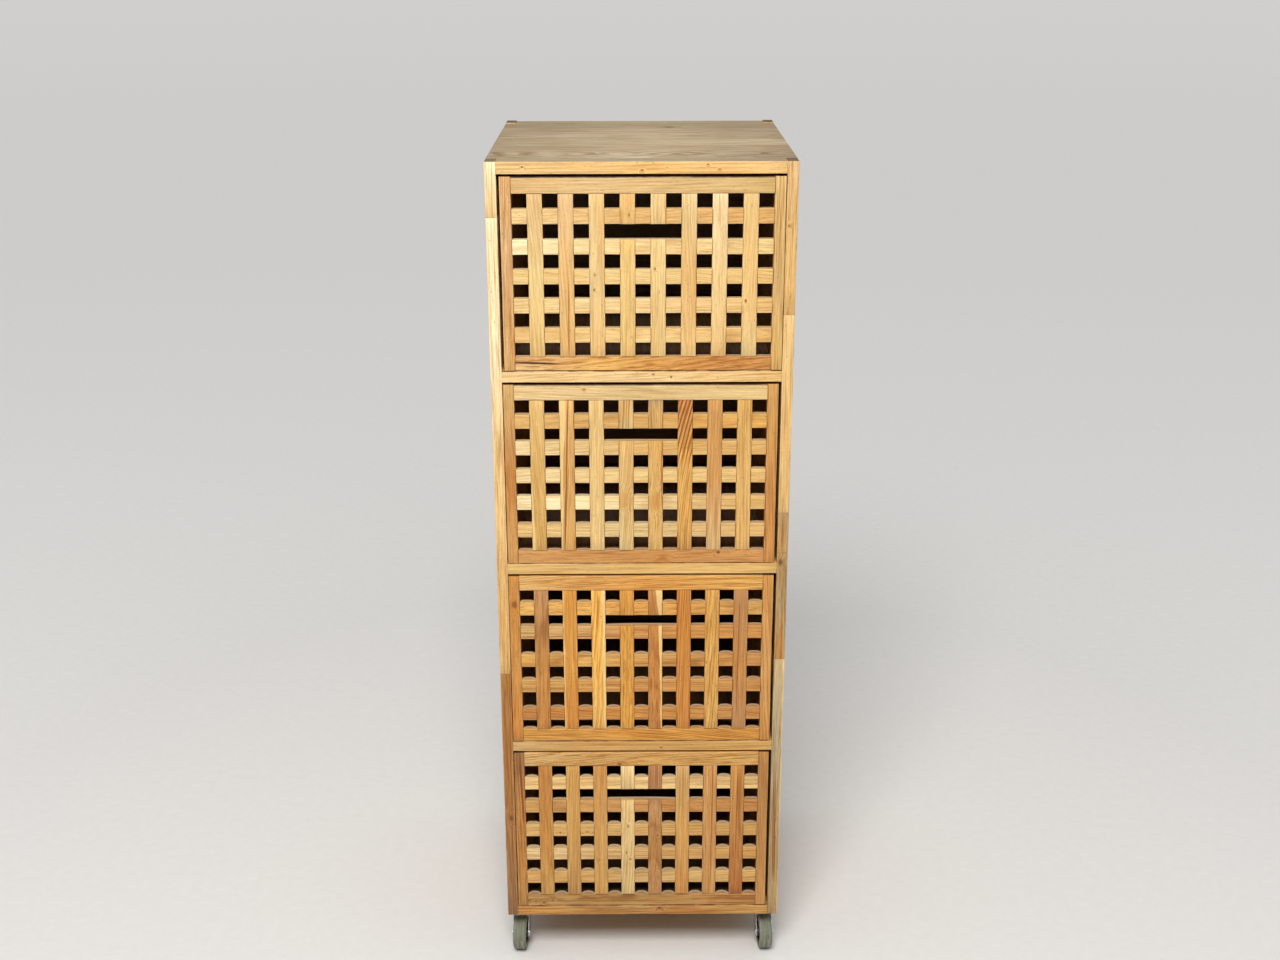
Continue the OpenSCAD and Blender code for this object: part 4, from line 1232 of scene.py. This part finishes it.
def forkParts(turn, swivel):
    # One strip of steel: up the left leg, over the crown and down the right leg. At each point of
    # the path its two edges are where the leg's outline, a taper from the crown to a round end at
    # the axle, is cut at that height.
    mid, bend = castor["legOuter"] - castor["steel"] / 2, castor["bend"]
    crownMid = castor["crown"] + castor["steel"] / 2
    axleZ, endR, cup = castor["wheel"], castor["legEnd"], castor["crown"] + castor["steel"]
    lowest = axleZ - endR
    legZ = np.unique(np.concatenate([lowest + endR * (1 - np.cos(np.linspace(0.12, math.pi / 2, 9))),
        np.linspace(axleZ, crownMid - bend, 9)]))
    arc = np.linspace(0, math.pi / 2, 7)[1:]
    path = np.vstack([
        np.stack([np.full_like(legZ, -mid), legZ], axis=-1),
        np.stack([-mid + bend * (1 - np.cos(arc)), crownMid - bend + bend * np.sin(arc)], axis=-1),
        np.stack([np.linspace(-mid + bend, 0, 9)[1:], np.full(8, crownMid)], axis=-1),
    ])
    path = np.vstack([path, (path * (-1, 1))[::-1][1:]])
    z = np.minimum(path[:, 1], cup)
    up = np.array([castor["trail"], cup - axleZ])
    up /= np.linalg.norm(up)
    axle = np.array([-castor["trail"], axleZ])
    nearEdge, farEdge = axle + endR * np.array([-up[1], up[0]]), axle - endR * np.array([-up[1], up[0]])
    roundEnd = np.sqrt(np.maximum(endR ** 2 - (z - axleZ) ** 2, 1e-8))
    lowV = np.where(z < nearEdge[1], -castor["trail"] - roundEnd,
        np.interp(z, [nearEdge[1], cup], [nearEdge[0], -castor["race"]]))
    highV = np.where(z < farEdge[1], -castor["trail"] + roundEnd,
        np.interp(z, [farEdge[1], cup], [farEdge[0], castor["race"]]))
    onCrown = path[:, 1] > crownMid - castor["crownSlack"]
    disc = np.sqrt(np.maximum(castor["crownReach"] ** 2 - path[:, 0] ** 2, 0)) * onCrown
    lowV, highV = np.minimum(lowV, -disc), np.maximum(highV, disc)
    way = np.gradient(path, axis=0)
    way /= np.linalg.norm(way, axis=1, keepdims=True)
    eU = np.array([math.cos(turn), math.sin(turn), 0])
    eV = np.array([-math.sin(turn), math.cos(turn), 0])
    along = way[:, :1] * eU + way[:, 1:] * axes["z"]
    across = np.repeat(-eV[None], len(path), axis=0)
    depth = np.cross(along, across)
    centre = np.array([swivel[0], swivel[1], 0]) + path[:, :1] * eU + path[:, 1:] * axes["z"]
    half = np.full(len(path), castor["steel"] / 2)
    edge = castor["steelEdge"]
    inset = np.zeros(len(path))
    full = np.ones((2, len(path)))
    points, a, *_ = sweep(centre, across, depth, np.stack([-highV, -lowV]), np.stack([-half, half]),
        [edge] * 4, inset, full)
    strip = {"points": points, "faces": tubeFaces(len(path), a.shape[1])}
    race = castor["race"]
    cup = eased([(0, castor["crown"] + castor["steel"] - 0.0003),
        (race, castor["crown"] + castor["steel"] - 0.0003), (race, castor["cupTop"]),
                 (race - 0.002, castor["cupTop"]), (race - 0.0032, castor["cupTop"] - 0.0015),
                 (0, castor["cupTop"] - 0.0015)], 0.0009, loop=False)
    return [strip, lathe(cup, (swivel[0], swivel[1], 0), axes["z"], 64)]


def makeCastor(end, side):
    # Fork, axle, hub and tyre of one castor, turned as its axle lies; the axle's heads are low
    # domes.
    swing, spin = joints[f"castor_{end}_{side}_swivel"], joints[f"wheel_{end}_{side}_spin"]
    swivel, wheel, axle = np.array(swing["pos_m"]), np.array(spin["pos_m"]), np.array(spin["axis"], float)
    turn = math.atan2(axle[1], axle[0])
    name = end.title() + side.title()
    rider, roller = f"castor_{end}_{side}", f"wheel_{end}_{side}"
    fork = forkParts(turn, swivel)
    for part in fork:
        part.pop("lathe", None)
    makePiece("fork" + name, fork, "zincSteel", rider, [f"fork_{end}_{side}"])
    outer, head, reach = castor["legOuter"], castor["headThick"], castor["headReach"]
    dome = [(0, outer + head), (0.45 * reach, outer + 0.97 * head), (0.8 * reach, outer + 0.7 * head),
        (reach, outer + 0.25 * head), (reach, outer), (castor["axle"], outer)]
    pin = dome + [(r, -h) for r, h in dome[::-1]]
    makePiece("axle" + name, [lathe(np.array(pin)[::-1], wheel, axle, 40)], "brightSteel", rider,
        [f"axle_{end}_{side}"])
    makePiece("hub" + name, [lathe(hubProfile()[::-1], wheel, axle, 96, loop=True)], "hubPlastic", roller,
        [f"hub_{end}_{side}"])
    makePiece("tyre" + name, [lathe(tyreProfile(), wheel, axle, 128, loop=True)], "greyRubber", roller,
        [f"tyre_{end}_{side}"])


def makePlates():
    # Each castor's plate is a rounded square, and under it is the upper half of the ball race.
    made = []
    for end in ("front", "rear"):
        for side in ("left", "right"):
            x, y, _ = joints[f"castor_{end}_{side}_swivel"]["pos_m"]
            half, corner = castor["plateHalf"], castor["plateCorner"]
            low, high = np.array([x - half, y - half, castor["plate"]]), np.array([x + half, y + half,
                castor["plateTop"]])
            plate = board(low, high, "z", "y", 1, "bare", corners=[corner] * 4, wave=0)
            race = eased([(0, castor["upperRace"]), (castor["race"] - 0.0012, castor["upperRace"]),
                (castor["race"], castor["upperRace"] + 0.0006),
                          (castor["race"], castor["plate"] + 0.0003), (0, castor["plate"] + 0.0003)],
                          0.0005, loop=False)
            disc = lathe(race, (x, y, 0), axes["z"], 64)
            made += [{"points": part["points"], "faces": part["faces"]} for part in (plate, disc)]
    makePiece("castorPlates", made, "zincSteel", "cabinet", ["castor_plates"])


for end in ("front", "rear"):
    for side in ("left", "right"):
        makeCastor(end, side)
makePlates()
for node in ("castor_screws", "castor_kingpins", "swivel_balls"):
    shown = frame["nodes"][node]
    shown.data.materials.clear()
    shown.data.materials.append(materials["brightSteel"])
print("castors dressed")


studio = {
    "floor": (0.72, 0.715, 0.705), "reach": 60.0,
    "backdrop": 0.62,  # brightness of what lies beyond the floor, as it is seen and mirrored
    # m from the middle at which the far floor starts to be lifted to the backdrop, and by how much
    "glowFrom": 1.2, "glow": 0.26,
    "horizon": 0.07, "zenith": 0.85,  # strength of the light from all round, and from right above
    "keyPlace": (-0.4, -2.9, 4.1), "keyAim": (0.0, -0.2, 0.7), "keySize": 1.8, "keyPower": 185.0,
    "keyColour": (1.0, 0.98, 0.95),
}


# 1 for rays that come from the eye, a mirror or a pane, and 0 for those that carry light to the chest
def seenRays(tree):
    path = tree.nodes.new("ShaderNodeLightPath").outputs
    return calc(tree, "MAXIMUM", path["Is Camera Ray"],
        calc(tree, "MAXIMUM", path["Is Glossy Ray"], path["Is Transmission Ray"]))


def makeFloor():
    # The lamp's light falls off with distance r, so the seen floor gets glow * (r - from) / (r +
    # from) beyond r = from.
    half = studio["reach"]
    mesh = bpy.data.meshes.new("floor")
    mesh.from_pydata([(-half, -half, 0), (half, -half, 0), (half, half, 0), (-half, half, 0)], [],
        [(0, 1, 2, 3)])
    made, tree, shader = newMaterial("floorPaint", Roughness=0.85)
    speck = noise(tree, objectPlace(tree), (60, 60, 60), 3.0)
    low, high = ((*[share * value for value in studio["floor"]], 1) for share in (0.96, 1.04))
    tree.links.new(mix(tree, speck, low, high), shader["Base Color"])
    far, start = vector(tree, "LENGTH", objectPlace(tree)), studio["glowFrom"]
    rise = calc(tree, "DIVIDE", calc(tree, "SUBTRACT", far, start), calc(tree, "ADD", far, start),
        clamp=True)
    lift = calc(tree, "MULTIPLY", calc(tree, "MULTIPLY", rise, studio["glow"]), seenRays(tree))
    tree.links.new(pack(tree, lift, lift, lift), shader["Emission Color"])
    shader["Emission Strength"].default_value = 1.0
    mesh.materials.append(made)
    floor = bpy.data.objects.new("floor", mesh)
    bpy.context.scene.collection.objects.link(floor)


def makeLights():
    lamp = bpy.data.lights.new("key", "AREA")
    lamp.shape = "SQUARE"
    lamp.size = studio["keySize"]
    lamp.energy = studio["keyPower"]
    lamp.color = studio["keyColour"]
    key = bpy.data.objects.new("key", lamp)
    back = np.array(studio["keyPlace"]) - np.array(studio["keyAim"])
    back /= np.linalg.norm(back)
    right = np.cross(axes["z"], back)
    right /= np.linalg.norm(right)
    matrix = np.eye(4)
    matrix[:3, 0], matrix[:3, 1], matrix[:3, 2], matrix[:3, 3] = right, np.cross(back,
        right), back, studio["keyPlace"]
    key.matrix_world = Matrix(matrix.tolist())
    bpy.context.scene.collection.objects.link(key)


def makeSky():
    # Strength = horizon + (zenith - horizon) * height ^ 1.5, height being the upward part of the
    # direction. What is seen of it is one plain backdrop.
    world = bpy.data.worlds.new("studio")
    world.use_nodes = True
    tree = world.node_tree
    height = calc(tree, "MAXIMUM",
        split(tree, tree.nodes.new("ShaderNodeTexCoord").outputs["Generated"])[2], 0.0)
    rise = calc(tree, "MULTIPLY", calc(tree, "POWER", height, 1.5), studio["zenith"] - studio["horizon"])
    sky = tree.nodes["Background"].inputs
    sky["Color"].default_value = (1.0, 0.995, 0.985, 1)
    light = calc(tree, "ADD", rise, studio["horizon"])
    seen = seenRays(tree)
    hidden = calc(tree, "MULTIPLY", light, calc(tree, "SUBTRACT", 1.0, seen))
    tree.links.new(calc(tree, "MULTIPLY_ADD", seen, studio["backdrop"], hidden), sky["Strength"])
    bpy.context.scene.world = world


makeFloor()
makeLights()
makeSky()
bpy.context.scene.view_settings.view_transform = "Standard"
print("studio lit")
